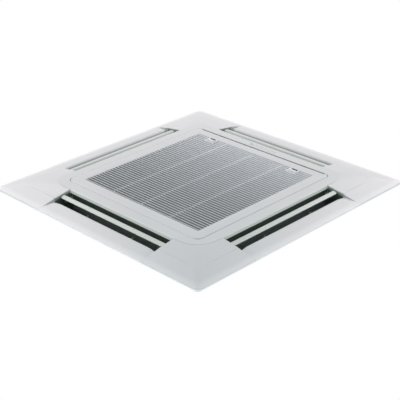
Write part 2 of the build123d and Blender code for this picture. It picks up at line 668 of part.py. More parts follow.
def coil_end_plates():
    z0, z1 = COIL_Z
    near, far = COIL_IN - 3, COIL_OUT + 3
    plate = block(-COIL_GAP - 1.2, -COIL_GAP, near, far, z0 - 1.5, z1 + 1.5)
    other = block(-far, -near, COIL_GAP, COIL_GAP + 1.2, z0 - 1.5, z1 + 1.5)
    return [plate, other]


def return_bend(row_y, z):
    """A U-bend of 9.5 mm tube that joins two tubes one above the other."""
    x = -COIL_GAP - 1.2
    section = Pos(x, row_y, z - 12.7) * Rot(0, 90, 0) * Circle(4.76)
    bend = revolve(section, Axis((x, row_y, z), (0, 1, 0)), 180)
    return bend


def coil_tubes():
    bends = []
    for row_y in (289.0, 309.0):
        for i in range(3):
            z = 70.0 + 50.8 * i - (12.7 if row_y > 300 else 0)
            bend = return_bend(row_y, z)
            bends.append(bend)
            bends.append(mirror(bend, Plane(origin=(0, 0, 0), z_dir=(1, 1, 0))))
    return bends


def pipe_run(points, bend, r):
    path = FilletPolyline(*points, radius=bend)
    start = Vector(*points[0])
    heading = Vector(*points[1]) - start
    section = Plane(origin=start, z_dir=heading) * Circle(r)
    return sweep(section, path=path)


def out_of_corner(s, n, z):
    """A point s along the left rear corner face and n outside it."""
    k = math.sqrt(0.5)
    return (-CORNER_MID + k * (s - n), CORNER_MID + k * (s + n), z)


def meet_corner_line(x, z):
    """Where the pipes' line out of the corner crosses a given x."""
    n = PIPE_S - (x + CORNER_MID) / math.sqrt(0.5)
    return out_of_corner(PIPE_S, n, z)


def gas_pipe():
    x = -299
    return pipe_run([(x, COIL_GAP + 1.4, GAS_Z), meet_corner_line(x, GAS_Z),
                     out_of_corner(PIPE_S, 30, GAS_Z)], 22, 7.94)


def liquid_pipe():
    x = -290
    return pipe_run([(-COIL_GAP - 1.4, 299, LIQUID_Z), (x, 299, LIQUID_Z),
                     meet_corner_line(x, LIQUID_Z), out_of_corner(PIPE_S, 30, LIQUID_Z)], 16, 4.76)


def flare_unions():
    """Brass union on each pipe's end: a hexagon and the round of its thread."""
    unions = []
    for z, hex_r, thread_r in ((GAS_Z, 15.0, 11.1), (LIQUID_Z, 11.0, 7.94)):
        x, y, _ = out_of_corner(PIPE_S, 30, z)
        place = Pos(x, y, z) * Rot(0, 0, 135) * Rot(0, 90, 0)
        nut = place * extrude(RegularPolygon(hex_r, 6), amount=10)
        thread = place * Pos(0, 0, 9) * extrude(Circle(thread_r), amount=19)
        bore = place * Pos(0, 0, -1) * extrude(Circle(thread_r * 0.45), amount=40)
        unions.append(nut + thread - bore)
    return unions


def pipe_plate():
    """Steel plate round the pipes, outside the corner face."""
    frame = Pos(-CORNER_MID, CORNER_MID, 0) * Rot(0, 0, 135)
    plate = frame * block(0.1, 1.3, -PIPE_S - 26, -PIPE_S + 26, LIQUID_Z - 20, GAS_Z + 22)
    for z, r in ((GAS_Z, 8.4), (LIQUID_Z, 5.2)):
        plate -= through_corner(PIPE_S, z, r, -5, 5)
    return plate


# ---- condensate pump --------------------------------------------------------------------
def drain_pump():
    px, py = PUMP_AT
    body = rod(px, py, 17, 60, 96) + rod(px, py, 21, 96, 122)
    body += rod(px, py, 9, 30, 61)
    return body + Pos(px, py + 22.5, DRAIN_Z) * Rot(90, 0, 0) * Cylinder(8, 11)


def pump_bracket():
    px, py = PUMP_AT
    frame = Pos(px, py, 0) * Rot(0, 0, 135)
    plate = frame * block(-14, 15.5, -20, 23.5, 122.2, 124)
    plate += frame * block(14, 15.5, -6, 6, 123, BODY_TOP - 0.1)
    return plate + frame * block(-6, 6, 22, 23.5, 123, BODY_TOP - 0.1)


def float_switch():
    """Stem with a stop at its foot, on an arm from the pump."""
    x, y = FLOAT_AT
    stem = rod(x, y, 2.5, 38, 66) + rod(x, y, 5, 37.2, 39)
    reach = math.dist(FLOAT_AT, PUMP_AT) - 17.05
    return stem + Pos(x, y, 0) * Rot(0, 0, 135) * block(-4, reach, -3, 3, 62, 66)


def float_ring():
    return tube(*FLOAT_AT, 7.0, 2.56, 40, 52)


def drain_socket():
    """Moulded drain pipe from the pump's spigot out through the corner face."""
    px, py = PUMP_AT
    points = [(px, py + 21.2, DRAIN_Z), (px, py + 36, DRAIN_Z), out_of_corner(DRAIN_S, -40, DRAIN_Z),
              out_of_corner(DRAIN_S, 0, DRAIN_Z)]
    inner_end = [(px, py + 20, DRAIN_Z)] + points[1:]
    pipe = pipe_run(points, 14, 11) + through_corner(DRAIN_S, DRAIN_Z, 15.4, -3, 4)
    pipe += through_corner(DRAIN_S, DRAIN_Z, 20, 0.2, 3)
    pipe += through_corner(DRAIN_S, DRAIN_Z, 16, 3, 48)
    pipe -= through_corner(DRAIN_S, DRAIN_Z, 12.5, -0.5, 60)
    return pipe - pipe_run(inner_end, 14, 8.1)


# ---- fan --------------------------------------------------------------------------------
def revolved(points):
    face = Face(Wire.make_polygon([(r, 0, z) for r, z in points], close=True))
    return revolve(face, Axis.Z, 360)


def turbo_fan():
    z0, z1 = FAN_Z
    back = revolved([(14, z1 - 3), (FAN_R, z1 - 3), (FAN_R, z1), (84, z1), (84, z1 + 12),
                     (81, z1 + 12), (81, z1 + 0.0), (14, z1 + 0.0)])
    hub = tube(0, 0, 16, SHAFT_R, z1 - 24, z1)
    shroud = revolved([(FAN_INLET_R, z0), (FAN_INLET_R + 3, z0), (FAN_INLET_R + 3, z0 + 8),
                       (FAN_R, z0 + 30), (FAN_R, z0 + 33), (FAN_INLET_R, z0 + 10)])
    fan = back + hub + shroud
    for i in range(FAN_BLADES):
        fan += Rot(0, 0, 360 / FAN_BLADES * i) * fan_blade()
    return fan


def fan_blade():
    """Backward curved blade between the shroud and the back plate."""
    z0, z1 = FAN_Z
    inner = (142.0, 0.0)
    outer = (FAN_R * 0.978 * math.cos(0.62), FAN_R * 0.978 * math.sin(0.62))
    middle = (193.0, 44.0)
    outside = ThreePointArc(inner, middle, outer)
    shift = Vector(3.2, -3.6)
    inside = ThreePointArc(Vector(*inner) + shift, Vector(*middle) + shift, Vector(*outer) + shift)
    wire = Wire([outside.edge(), Edge.make_line(outside @ 1, inside @ 1), inside.edge(),
                 Edge.make_line(inside @ 0, outside @ 0)])
    blade = Pos(0, 0, z0 + 11) * extrude(Face(wire), amount=z1 - z0 - 12, dir=(0, 0, 1))
    under_shroud = revolved([(0, z0 + 11), (FAN_INLET_R, z0 + 11), (FAN_R + 8, z0 + 32.4),
                             (FAN_R + 8, z1 - 1), (0, z1 - 1)])
    return blade & under_shroud


def fan_motor():
    z1 = FAN_Z[1] + 10
    can = rod(0, 0, 74, z1, z1 + 34)
    can = fillet(can.edges().filter_by(GeomType.CIRCLE), 5)
    foot = BODY_TOP - 9
    for angle in range(45, 360, 90):
        can += Rot(0, 0, angle) * block(60, 92, -11, 11, z1 + 20, z1 + 24)
    can -= rod(0, 0, SHAFT_R + 0.08, z1 - 1, z1 + 26)
    for angle in range(45, 360, 90):
        can -= Rot(0, 0, angle) * rod(84, 0, 4.2, z1, foot + 5)
    return can


def motor_shaft():
    z1 = FAN_Z[1]
    return rod(0, 0, SHAFT_R, z1 - 34, z1 + 34)


def fan_nut():
    z1 = FAN_Z[1] - 24
    nut = Pos(0, 0, z1 - 7) * extrude(RegularPolygon(11, 6), amount=7)
    return nut - rod(0, 0, SHAFT_R + 0.02, z1 - 10, z1 + 1)


def motor_feet():
    """Rubber feet between the motor's ears and the top plate."""
    z1 = FAN_Z[1] + 10
    foot = rod(84, 0, 10, z1 + 24.1, BODY_TOP) + rod(84, 0, 4, z1 + 14, z1 + 25)
    foot += rod(84, 0, 9, z1 + 14, z1 + 19.9)
    return [Rot(0, 0, angle) * foot for angle in range(45, 360, 90)]


def bell_mouth():
    plate = prism(PAN_OPEN - 0.4, 57.6, PLATE_Z - 2.4, PLATE_Z) - rod(0, 0, BELL_R, 0, 100)
    z = PLATE_Z - 2.4
    t = 2.4
    throat = FAN_Z[0] + 6
    outer = Edge.make_three_point_arc((BELL_R, 0, z), (157, 0, z + 14), (THROAT_R, 0, z + 34))
    inner = Edge.make_three_point_arc((THROAT_R + t, 0, z + 34), (159, 0, z + 16), (BELL_R + t, 0, z + t))
    face = Face(Wire([outer, Edge.make_line((THROAT_R, 0, z + 34), (THROAT_R, 0, throat)),
                      Edge.make_line((THROAT_R, 0, throat), (THROAT_R + t, 0, throat)),
                      Edge.make_line((THROAT_R + t, 0, throat), (THROAT_R + t, 0, z + 34)),
                      inner,
                      Edge.make_line((BELL_R + t, 0, z + t), (BELL_R + t, 0, z)),
                      Edge.make_line((BELL_R + t, 0, z), (BELL_R, 0, z))]))
    return plate + revolve(face, Axis.Z, 360)


# ---- electrics --------------------------------------------------------------------------
BOX_X = (-190.0, 190.0)
BOX_Y = (-249.0, -186.0)
BOX_Z = (8.0, 41.9)


def control_box():
    x0, x1 = BOX_X
    y0, y1 = BOX_Y
    z0, z1 = BOX_Z
    t = 1.2
    box = block(x0, x1, y0, y1, z0, z1) - block(x0 + t, x1 - t, y0 + t, y1 - t, z0 - 1, z1 - t)
    for x in (x0 + 30, x1 - 30):
        box += block(x - 8, x + 8, y1 - 0.5, y1 + 6, z1 - 1.2, z1)
    return box


def control_lid():
    x0, x1 = BOX_X
    y0, y1 = BOX_Y
    z0 = BOX_Z[0]
    lid = block(x0 - 1.4, x1 + 1.4, y0 - 1.4, y1 + 1.4, z0 - 1.2, z0 + 8)
    return lid - block(x0 - 0.2, x1 + 0.2, y0 - 0.2, y1 + 0.2, z0, z0 + 9)


def circuit_board():
    x0 = BOX_X[0] + 8
    y0 = BOX_Y[0] + 5
    board = block(x0, x0 + 240, y0, y0 + 53, 35, 36.6)
    parts = ((12, 8, 26, 34, 17), (48, 6, 18, 16, 14), (70, 6, 18, 16, 14), (96, 10, 30, 12, 8),
             (140, 26, 34, 20, 5), (186, 8, 12, 34, 9), (208, 8, 20, 10, 11))
    for dx, dy, w, d, height in parts:
        board += block(x0 + dx, x0 + dx + w, y0 + dy, y0 + dy + d, 35.2 - height, 35.2)
    for dx in (52, 66, 80):
        board += rod(x0 + dx, y0 + 38, 6, 35.2 - 20, 35.2)
    for dx, dy in ((6, 4), (234, 4), (6, 49), (234, 49)):
        board += rod(x0 + dx, y0 + dy, 2, 36, BOX_Z[1] - 1.2)
    return board


def terminal_block():
    x1 = BOX_X[1] - 10
    y0 = BOX_Y[0] + 14
    block_body = block(x1 - 96, x1, y0, y0 + 30, 26, BOX_Z[1] - 1.2)
    for i in range(6):
        x = x1 - 90 + 16 * i
        block_body -= block(x - 1, x + 11, y0 + 3, y0 + 27, 20, 32)
        block_body += rod(x + 5, y0 + 15, 4, 28.5, 33)
    return block_body


def sensors():
    """Air sensor at the bell mouth's plate and pipe sensor on the coil's end."""
    air = rod(215, -215, 3, 24, PLATE_Z - 2.4) + rod(215, -215, 5.5, 36, PLATE_Z - 2.4)
    pipe = Pos(-300, 246, 110) * block(-1.5, 1.5, 16, 22, -4, 4)
    pipe += rod(-300, 265.2, 3, 100, 128)
    return [air, pipe & block(-310, -290, 263.4, 280, 90, 140)]


def cable_grommet():
    place = Pos(BODY_HALF, -200, 90) * Rot(0, 90, 0)
    ring_out = place * Pos(0, 0, 0.0) * Cylinder(12, 3, align=(Align.CENTER, Align.CENTER, Align.MIN))
    neck = place * Cylinder(8.9, 6)
    return ring_out + neck - place * Cylinder(6, 20)


def casing_screws():
    screws = []
    for side in SIDES:
        for x in (-240, -80, 80, 240):
            head = Pos(x, -BODY_HALF - 1.2, BODY_TOP - 6) * Rot(90, 0, 0) * Cylinder(
                4, 2.2, align=(Align.CENTER, Align.CENTER, Align.MIN))
            screws.append(at_side(fillet(head.edges().group_by(Axis.Y)[0], 1.0), side))
    return screws


# ---- write every node -------------------------------------------------------------------
def all_quadrants(shape):
    """The right rear piece, and its mirror images at the other corners."""
    right_front = mirror(shape, Plane.XZ)
    return {"right_rear": shape, "right_front": right_front,
            "left_rear": mirror(shape, Plane.YZ), "left_front": mirror(right_front, Plane.YZ)}


save("panel_frame", panel_frame())
for corner, cover in all_quadrants(corner_cover()).items():
    save(f"corner_cover_{corner}", cover)
save("rim_gasket", rim_gasket())
save("outlet_seals", *outlet_seals())
save("panel_screws", *panel_screws())
save("intake_grille", intake_grille())
save("grille_hinge_pins", *grille_hinge_pins())
save("grille_latch_left", latch(-LATCH_X))
save("grille_latch_right", latch(LATCH_X))
save("filter_frame", filter_frame())
save("filter_net", filter_net())
front_vane = vane()
for side in SIDES:
    save(f"vane_{side}", at_side(front_vane, side))
    save(f"vane_motor_{side}", at_side(vane_motor(), side))
save("vane_bushes", *four_sides(vane_bush()))
save("receiver_housing", receiver_housing())
save("receiver_window", receiver_window())
save("indicator_lamps", *indicator_lamps())
save("casing_wall", *casing_wall())
save("top_plate", top_plate())
for corner, bracket in all_quadrants(hanger_bracket()).items():
    save(f"hanger_bracket_{corner}", bracket)
save("foam_lining", *foam_lining())
save("drain_pan", drain_pan())
save("drain_plug", drain_plug())
save("fin_pack", fin_pack())
save("coil_end_plates", *coil_end_plates())
save("coil_tubes", *coil_tubes())
save("gas_pipe", gas_pipe())
save("liquid_pipe", liquid_pipe())
save("flare_unions", *flare_unions())
save("pipe_plate", pipe_plate())
save("drain_pump", drain_pump())
save("pump_bracket", pump_bracket())
save("float_switch", float_switch())
save("float_ring", float_ring())
save("drain_socket", drain_socket())
save("turbo_fan", turbo_fan())
save("fan_motor", fan_motor())
save("motor_shaft", motor_shaft())
save("fan_nut", fan_nut())
save("motor_feet", *motor_feet())
save("bell_mouth", bell_mouth())
save("control_box", control_box())
save("control_lid", control_lid())
save("circuit_board", circuit_board())
save("terminal_block", terminal_block())
save("sensors", *sensors())
save("cable_grommet", cable_grommet())
save("casing_screws", *casing_screws())
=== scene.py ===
import math

import bmesh
import bpy
from mathutils import Matrix, Vector


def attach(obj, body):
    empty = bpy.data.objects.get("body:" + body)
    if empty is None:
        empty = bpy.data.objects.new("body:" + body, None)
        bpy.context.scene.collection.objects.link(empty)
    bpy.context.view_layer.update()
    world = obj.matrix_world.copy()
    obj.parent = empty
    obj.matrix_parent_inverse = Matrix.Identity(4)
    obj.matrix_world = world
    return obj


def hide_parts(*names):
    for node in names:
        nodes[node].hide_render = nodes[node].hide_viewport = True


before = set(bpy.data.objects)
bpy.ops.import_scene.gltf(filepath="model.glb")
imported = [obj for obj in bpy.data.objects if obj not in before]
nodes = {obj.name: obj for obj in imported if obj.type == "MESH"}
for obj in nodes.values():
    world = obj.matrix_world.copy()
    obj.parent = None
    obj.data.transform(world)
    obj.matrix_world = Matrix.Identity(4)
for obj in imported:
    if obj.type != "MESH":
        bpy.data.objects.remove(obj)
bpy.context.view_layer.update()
MM = 0.001


# ---- White moulded plastic --------------------------------------------------------------
# Panel, covers, grille and vanes are injection moulded in white ABS with a fine satin
# texture. The surface is nearly plain: a faint spark-eroded grain and a slight unevenness
# of tone; the greyer gaps of the grille are painted shade.
def socket(group, name, kind, in_out="INPUT", value=None):
    made = group.interface.new_socket(name, in_out=in_out, socket_type=kind)
    if value is not None:
        made.default_value = value


def fine_grain_group():
    """Small even bumps, and a slow drift of tone, from object coordinates."""
    group = bpy.data.node_groups.new("fine_grain", "ShaderNodeTree")
    socket(group, "Vector", "NodeSocketVector")
    socket(group, "Grains per Metre", "NodeSocketFloat", value=900.0)
    socket(group, "Drift per Metre", "NodeSocketFloat", value=6.0)
    socket(group, "Height", "NodeSocketFloat", "OUTPUT")
    socket(group, "Drift", "NodeSocketFloat", "OUTPUT")
    given = group.nodes.new("NodeGroupInput")
    result = group.nodes.new("NodeGroupOutput")
    grain = group.nodes.new("ShaderNodeTexNoise")
    grain.inputs["Detail"].default_value = 3.0
    drift = group.nodes.new("ShaderNodeTexNoise")
    drift.inputs["Detail"].default_value = 4.0
    group.links.new(given.outputs["Vector"], grain.inputs["Vector"])
    group.links.new(given.outputs["Vector"], drift.inputs["Vector"])
    group.links.new(given.outputs["Grains per Metre"], grain.inputs["Scale"])
    group.links.new(given.outputs["Drift per Metre"], drift.inputs["Scale"])
    group.links.new(grain.outputs["Fac"], result.inputs["Height"])
    group.links.new(drift.outputs["Fac"], result.inputs["Drift"])
    return group


fine_grain = fine_grain_group()


class Finish:
    """A material under construction: its nodes, and the sockets the details plug into."""

    def __init__(self, name, colour, roughness):
        self.material = bpy.data.materials.new(name)
        self.material.use_nodes = True
        self.material.diffuse_color = (*colour, 1)
        self.tree = self.material.node_tree
        self.shader = self.tree.nodes["Principled BSDF"]
        self.shader.inputs["Base Color"].default_value = (*colour, 1)
        self.shader.inputs["Roughness"].default_value = roughness
        self.place = self.tree.nodes.new("ShaderNodeTexCoord").outputs["Object"]

    def add(self, kind, **values):
        node = self.tree.nodes.new(kind)
        for key, value in values.items():
            if hasattr(node, key):
                setattr(node, key, value)
            else:
                node.inputs[key.replace("_", " ")].default_value = value
        return node

    def link(self, output, target):
        self.tree.links.new(output, target)

    def group(self, group, **values):
        node = self.add("ShaderNodeGroup", node_tree=group)
        for key, value in values.items():
            node.inputs[key.replace("_", " ")].default_value = value
        self.link(self.place, node.inputs["Vector"])
        return node

    def blend_colour(self, factor, first, second, low=0.35, high=0.65):
        """Base colour goes from first to second as factor goes from low to high."""
        ramp = self.add("ShaderNodeValToRGB")
        ramp.color_ramp.elements[0].position = low
        ramp.color_ramp.elements[1].position = high
        ramp.color_ramp.elements[0].color = (*first, 1)
        ramp.color_ramp.elements[1].color = (*second, 1)
        self.link(factor, ramp.inputs["Fac"])
        self.link(ramp.outputs["Color"], self.shader.inputs["Base Color"])

    def tint(self, mask, colour):
        """Blend whatever feeds the base colour towards another colour, where the mask is 1."""
        before = self.shader.inputs["Base Color"].links[0].from_socket
        mix = self.add("ShaderNodeMix", data_type="RGBA")
        mix.inputs[7].default_value = (*colour, 1)
        self.link(mask, mix.inputs["Factor"])
        self.link(before, mix.inputs[6])
        self.link(mix.outputs[2], self.shader.inputs["Base Color"])

    def math(self, operation, *values):
        """A Math node over sockets and numbers."""
        node = self.add("ShaderNodeMath", operation=operation)
        for place, value in zip(node.inputs, values):
            if isinstance(value, (int, float)):
                place.default_value = value
            else:
                self.link(value, place)
        return node.outputs["Value"]

    def both(self, first, second):
        """The mask where two masks meet."""
        return self.math("MULTIPLY", first, second)

    def between(self, value, start, end):
        """0 at the start value, 1 at the end value, and straight between them."""
        span = self.add("ShaderNodeMapRange")
        span.inputs["From Min"].default_value = start
        span.inputs["From Max"].default_value = end
        self.link(value, span.inputs["Value"])
        return span.outputs["Result"]

    def along(self, axis):
        """The surface's coordinate along one axis."""
        split = self.add("ShaderNodeSeparateXYZ")
        self.link(self.place, split.inputs["Vector"])
        return split.outputs[axis]

    def from_middle(self):
        """The larger and the smaller distance from the panel's middle lines, and the height Z."""
        sides = [self.math("ABSOLUTE", self.along(axis)) for axis in "XY"]
        return self.math("MAXIMUM", *sides), self.math("MINIMUM", *sides), self.along("Z")

    def vary_roughness(self, factor, low, high):
        """Roughness goes from low to high with a noise, most of which is between 0.3 and 0.7."""
        span = self.add("ShaderNodeMapRange")
        span.inputs["From Min"].default_value = 0.3
        span.inputs["From Max"].default_value = 0.7
        span.inputs["To Min"].default_value = low
        span.inputs["To Max"].default_value = high
        self.link(factor, span.inputs["Value"])
        self.link(span.outputs["Result"], self.shader.inputs["Roughness"])

    def bump(self, height, depth):
        node = self.add("ShaderNodeBump")
        node.inputs["Strength"].default_value = 1.0
        node.inputs["Distance"].default_value = depth
        self.link(height, node.inputs["Height"])
        self.link(node.outputs["Normal"], self.shader.inputs["Normal"])


def moulded(name, colour, roughness, grain=900.0, depth=0.00002, tone=0.97):
    """Moulded plastic or rubber: its grain in grains per metre, and how deep, in metres."""
    finish = Finish(name, colour, roughness)
    grain_node = finish.group(fine_grain, Grains_per_Metre=grain)
    darker = tuple(c * tone for c in colour)
    finish.blend_colour(grain_node.outputs["Drift"], darker, colour)
    finish.vary_roughness(grain_node.outputs["Drift"], roughness - 0.04, roughness + 0.05)
    finish.bump(grain_node.outputs["Height"], depth)
    return finish


WHITE = (0.66, 0.68, 0.685)
SATIN = 0.38
white_moulding = moulded("white_moulding", WHITE, SATIN).material


# ---- Panel frame ------------------------------------------------------------------------
# One large moulding: the raised ring round the grille, the four rim strips with their round
# lips, the outlet walls and the hinge arms. It hangs from the body on four screws.
def put_material(obj, material):
    """Give every face of an object one material."""
    if not obj.data.materials:
        obj.data.materials.append(material)
    for place in obj.material_slots:
        place.material = material


def add_object(name, mesh):
    obj = bpy.data.objects.new(name, mesh)
    bpy.context.scene.collection.objects.link(obj)
    return obj


def settle(obj):
    """Turn an object's modifiers into plain mesh."""
    graph = bpy.context.evaluated_depsgraph_get()
    mesh = bpy.data.meshes.new_from_object(obj.evaluated_get(graph))
    obj.modifiers.clear()
    old = obj.data
    obj.data = mesh
    mesh.name = obj.name
    bpy.data.meshes.remove(old)


def smooth(obj, degrees):
    """Shade an object smooth, but for edges sharper than an angle."""
    obj.data.shade_smooth()
    obj.data.set_sharp_from_angle(angle=math.radians(degrees))


MERGE = 2e-6
FLAT = math.radians(0.4)
EDGE = math.radians(38)


def softened(node, radius, body, material):
    """A copy of a CAD node with its sharp edges rounded, as a mould or a press leaves them."""
    obj = add_object(f"{node}_piece", nodes[node].data.copy())
    work = bmesh.new()
    work.from_mesh(obj.data)
    bmesh.ops.remove_doubles(work, verts=work.verts, dist=MERGE)
    bmesh.ops.dissolve_limit(work, angle_limit=FLAT, verts=work.verts, edges=work.edges)
    work.to_mesh(obj.data)
    work.free()
    put_material(obj, material)
    bevel = obj.modifiers.new("edges", "BEVEL")
    bevel.width = radius * MM
    bevel.segments = 2
    bevel.limit_method = "ANGLE"
    bevel.angle_limit = EDGE
    bevel.use_clamp_overlap = True
    weighted = obj.modifiers.new("normals", "WEIGHTED_NORMAL")
    weighted.keep_sharp = True
    smooth(obj, 60)
    settle(obj)
    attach(obj, body)
    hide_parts(node)


# Where each painted light and shade begins and ends: distances from the middle and heights, in
# metres.
RIM_SLOPE = (0.448, 0.475)
SLOT_END = 0.243
RING_WALL = 0.3475
RING_WALL_HEIGHT = (-0.0300, -0.0285)
RING_EDGE = (0.3405, 0.3430)
RING_EDGE_HEIGHT = (-0.0275, -0.0290)
RIM_STRIP = 0.4035
LIP_SHADE = (0.4118, 0.4084)
POCKET = 0.3070
POCKET_HEIGHT = (-0.0320, -0.0312)
POCKET_WALL = (0.300, 0.304)
RIM_FOOT = (0.4735, 0.4748)
RIM_FOOT_HEIGHT = (-0.0060, -0.0035)
RIM_PAINTED_HIGHLIGHT = (0.80, 0.82, 0.825)
RING_WALL_PAINTED_LIGHT = (0.80, 0.82, 0.765)
RING_EDGE_PAINTED_HIGHLIGHT = (0.88, 0.90, 0.89)
LIP_PAINTED_SHADE = (0.44, 0.465, 0.445)
POCKET_REAR_PAINTED_SHADE = (0.30, 0.305, 0.31)
POCKET_RIGHT_PAINTED_SHADE = (0.22, 0.225, 0.23)
RIM_FOOT_PAINTED_LIGHT = (1.0, 1.0, 1.0)


def panel_plastic():
    """The white plastic, with painted light on the rim's slope and foot, the slots' walls and the
    ring's edge, and painted shade on the lips and the pocket's walls.
    """
    finish = moulded("panel_moulding", WHITE, SATIN)
    far, near, z = finish.from_middle()
    # Painted highlight: the rim's slope lighter towards its outer edge.
    finish.tint(finish.between(far, *RIM_SLOPE), RIM_PAINTED_HIGHLIGHT)
    in_slot = finish.math("LESS_THAN", near, SLOT_END)
    # Painted light: the inner walls of the slots lighter and greener.
    ring_wall = finish.both(in_slot, finish.math("LESS_THAN", far, RING_WALL))
    finish.tint(finish.both(ring_wall, finish.between(z, *RING_WALL_HEIGHT)), RING_WALL_PAINTED_LIGHT)
    # Painted highlight along the ring's rounded edge over the slots.
    ring_edge = finish.both(finish.between(far, *RING_EDGE), finish.between(z, *RING_EDGE_HEIGHT))
    finish.tint(finish.both(ring_wall, ring_edge), RING_EDGE_PAINTED_HIGHLIGHT)
    # Painted shade: the bottom of each rim strip's lip grey, inside the slot.
    on_strip = finish.both(in_slot, finish.math("GREATER_THAN", far, RIM_STRIP))
    finish.tint(finish.both(on_strip, finish.between(far, *LIP_SHADE)), LIP_PAINTED_SHADE)
    # Painted shade on the rear and right walls of the grille's pocket.
    pocket = finish.both(finish.math("LESS_THAN", far, POCKET), finish.between(z, *POCKET_HEIGHT))
    for axis, grey in (("Y", POCKET_REAR_PAINTED_SHADE), ("X", POCKET_RIGHT_PAINTED_SHADE)):
        wall = finish.between(finish.along(axis), *POCKET_WALL)
        finish.tint(finish.both(pocket, wall), grey)
    # Painted light: the foot of the rim lightened to white against its shade.
    rim_foot = finish.both(finish.between(far, *RIM_FOOT), finish.between(z, *RIM_FOOT_HEIGHT))
    finish.tint(rim_foot, RIM_FOOT_PAINTED_LIGHT)
    return finish.material


panel_white = panel_plastic()
softened("panel_frame", 0.9, "unit", panel_white)


# ---- Corner covers ----------------------------------------------------------------------
# Four covers clip over the panel's corners and hide its fixing screws. Each slopes from the
# raised ring to the rim in two flats with a fine line between them, and its diagonal is
# rounded softly.

# Sizes are in millimetres. A flat's ends are a distance from the middle and a height there.
COVER_SIDE = 243.4
COVER_WALL = 2.4
COVER_INNER = 0.8
SEAM_LAP = 2.2
COVER_RADIUS = 18.0
RING_RADIUS = 75.1
RING_REACH = 34.0
COVER_TOP = (344.0, 31.5)
COVER_LINE = (407.0, 22.0)
COVER_RIM = (475.0, 6.8)
LINE_DEPTH = 0.5
COVER_ROWS = (344.1, 344.1, 344.6, 346.4, 349, 353, 358, 364, 371, 380, 392, 405.4, 406.4,
              407.0, 407.6, 408.6, 420, 440, 459, 471, 473.6, 474.6, 475.0, 475.0)
FIRST_HEIGHTS = (3.0, 31.3, 31.4)
LAST_HEIGHTS = (7.0, 6.3, 5.2, 1.2)
SIDE_POINTS = 6
TURN_POINTS = 9
CORNERS = {"right_rear": (1, 1), "right_front": (1, -1), "left_rear": (-1, 1),
           "left_front": (-1, -1)}


def cover_height(a):
    """Height of the two flats at a distance from the middle, in millimetres."""
    start, end = (COVER_TOP, COVER_LINE) if a <= COVER_LINE[0] else (COVER_LINE, COVER_RIM)
    return start[1] - (a - start[0]) * (start[1] - end[1]) / (end[0] - start[0])


def cover_contour(a):
    """Points round the corner at distance a, from the one side wall to the other."""
    fade = max(0.0, 1.0 - (a - COVER_ROWS[0]) / RING_REACH)
    r = COVER_RADIUS + (RING_RADIUS - COVER_RADIUS) * fade ** 2
    centre = a - r
    points = [(COVER_SIDE + (centre - COVER_SIDE) * i / SIDE_POINTS, a)
              for i in range(SIDE_POINTS)]
    for i in range(TURN_POINTS + 1):
        angle = math.pi / 2 * (1 - i / TURN_POINTS)
        points.append((centre + r * math.cos(angle), centre + r * math.sin(angle)))
    points += [(a, centre + (COVER_SIDE - centre) * (i + 1) / SIDE_POINTS)
               for i in range(SIDE_POINTS)]
    return points


def cover_rows():
    """The outer face as rows of (x, y, height), from the ring down to the rim."""
    rows = []
    last = len(COVER_ROWS) - len(LAST_HEIGHTS)
    for i, a in enumerate(COVER_ROWS):
        if i < len(FIRST_HEIGHTS):
            height = FIRST_HEIGHTS[i]
        elif i >= last:
            height = LAST_HEIGHTS[i - last]
        else:
            height = cover_height(a)
        contour = cover_contour(a)
        row = []
        for j, (x, y) in enumerate(contour):
            straight = j < SIDE_POINTS or j >= len(contour) - SIDE_POINTS
            line = LINE_DEPTH if a == COVER_LINE[0] and straight else 0.0
            row.append((x, y, height - line))
        rows.append(row)
    return rows


def cover_mesh():
    """One cover, for the right rear corner: the outer face, an inner face and the walls."""
    rows = cover_rows()
    work = bmesh.new()
    outside = [[work.verts.new((x * MM, y * MM, -h * MM)) for x, y, h in row] for row in rows]
    inset = [[work.verts.new(((x + SEAM_LAP) * MM, (y + SEAM_LAP) * MM, -h * MM))
              for x, y, h in rows[0]]]
    for row in rows[1:]:
        inset.append([work.verts.new(((x - COVER_INNER) * MM, (y - COVER_INNER) * MM,
                                      -max(h - COVER_WALL, LAST_HEIGHTS[-1]) * MM))
                      for x, y, h in row])
    for sheet, step in ((outside, 1), (inset, -1)):
        for first, second in zip(sheet, sheet[1:]):
            for j in range(len(first) - 1):
                corners = [first[j], first[j + 1], second[j + 1], second[j]]
                work.faces.new(corners[::step])
    for first, second in ((0, 0), (-1, -1)):
        for j in range(len(outside[0]) - 1):
            work.faces.new([outside[first][j], outside[first][j + 1],
                            inset[second][j + 1], inset[second][j]])
    for j in (0, -1):
        for i in range(len(outside) - 1):
            work.faces.new([outside[i][j], outside[i + 1][j], inset[i + 1][j], inset[i][j]])
    for swap in (False, True):
        add_cover_end(work, rows, swap)
    bmesh.ops.recalc_face_normals(work, faces=work.faces)
    mesh = bpy.data.meshes.new("corner_cover")
    work.to_mesh(mesh)
    work.free()
    return mesh


END_REACH = (345.2, 472.0)
END_FOOT = 3.9
END_GAP = 0.15
NOTCH_FEET = (355.6, 374.4)
NOTCH_RADIUS = 8.6
NOTCH_STEPS = 8
PIVOT = (365.0, 1.0)


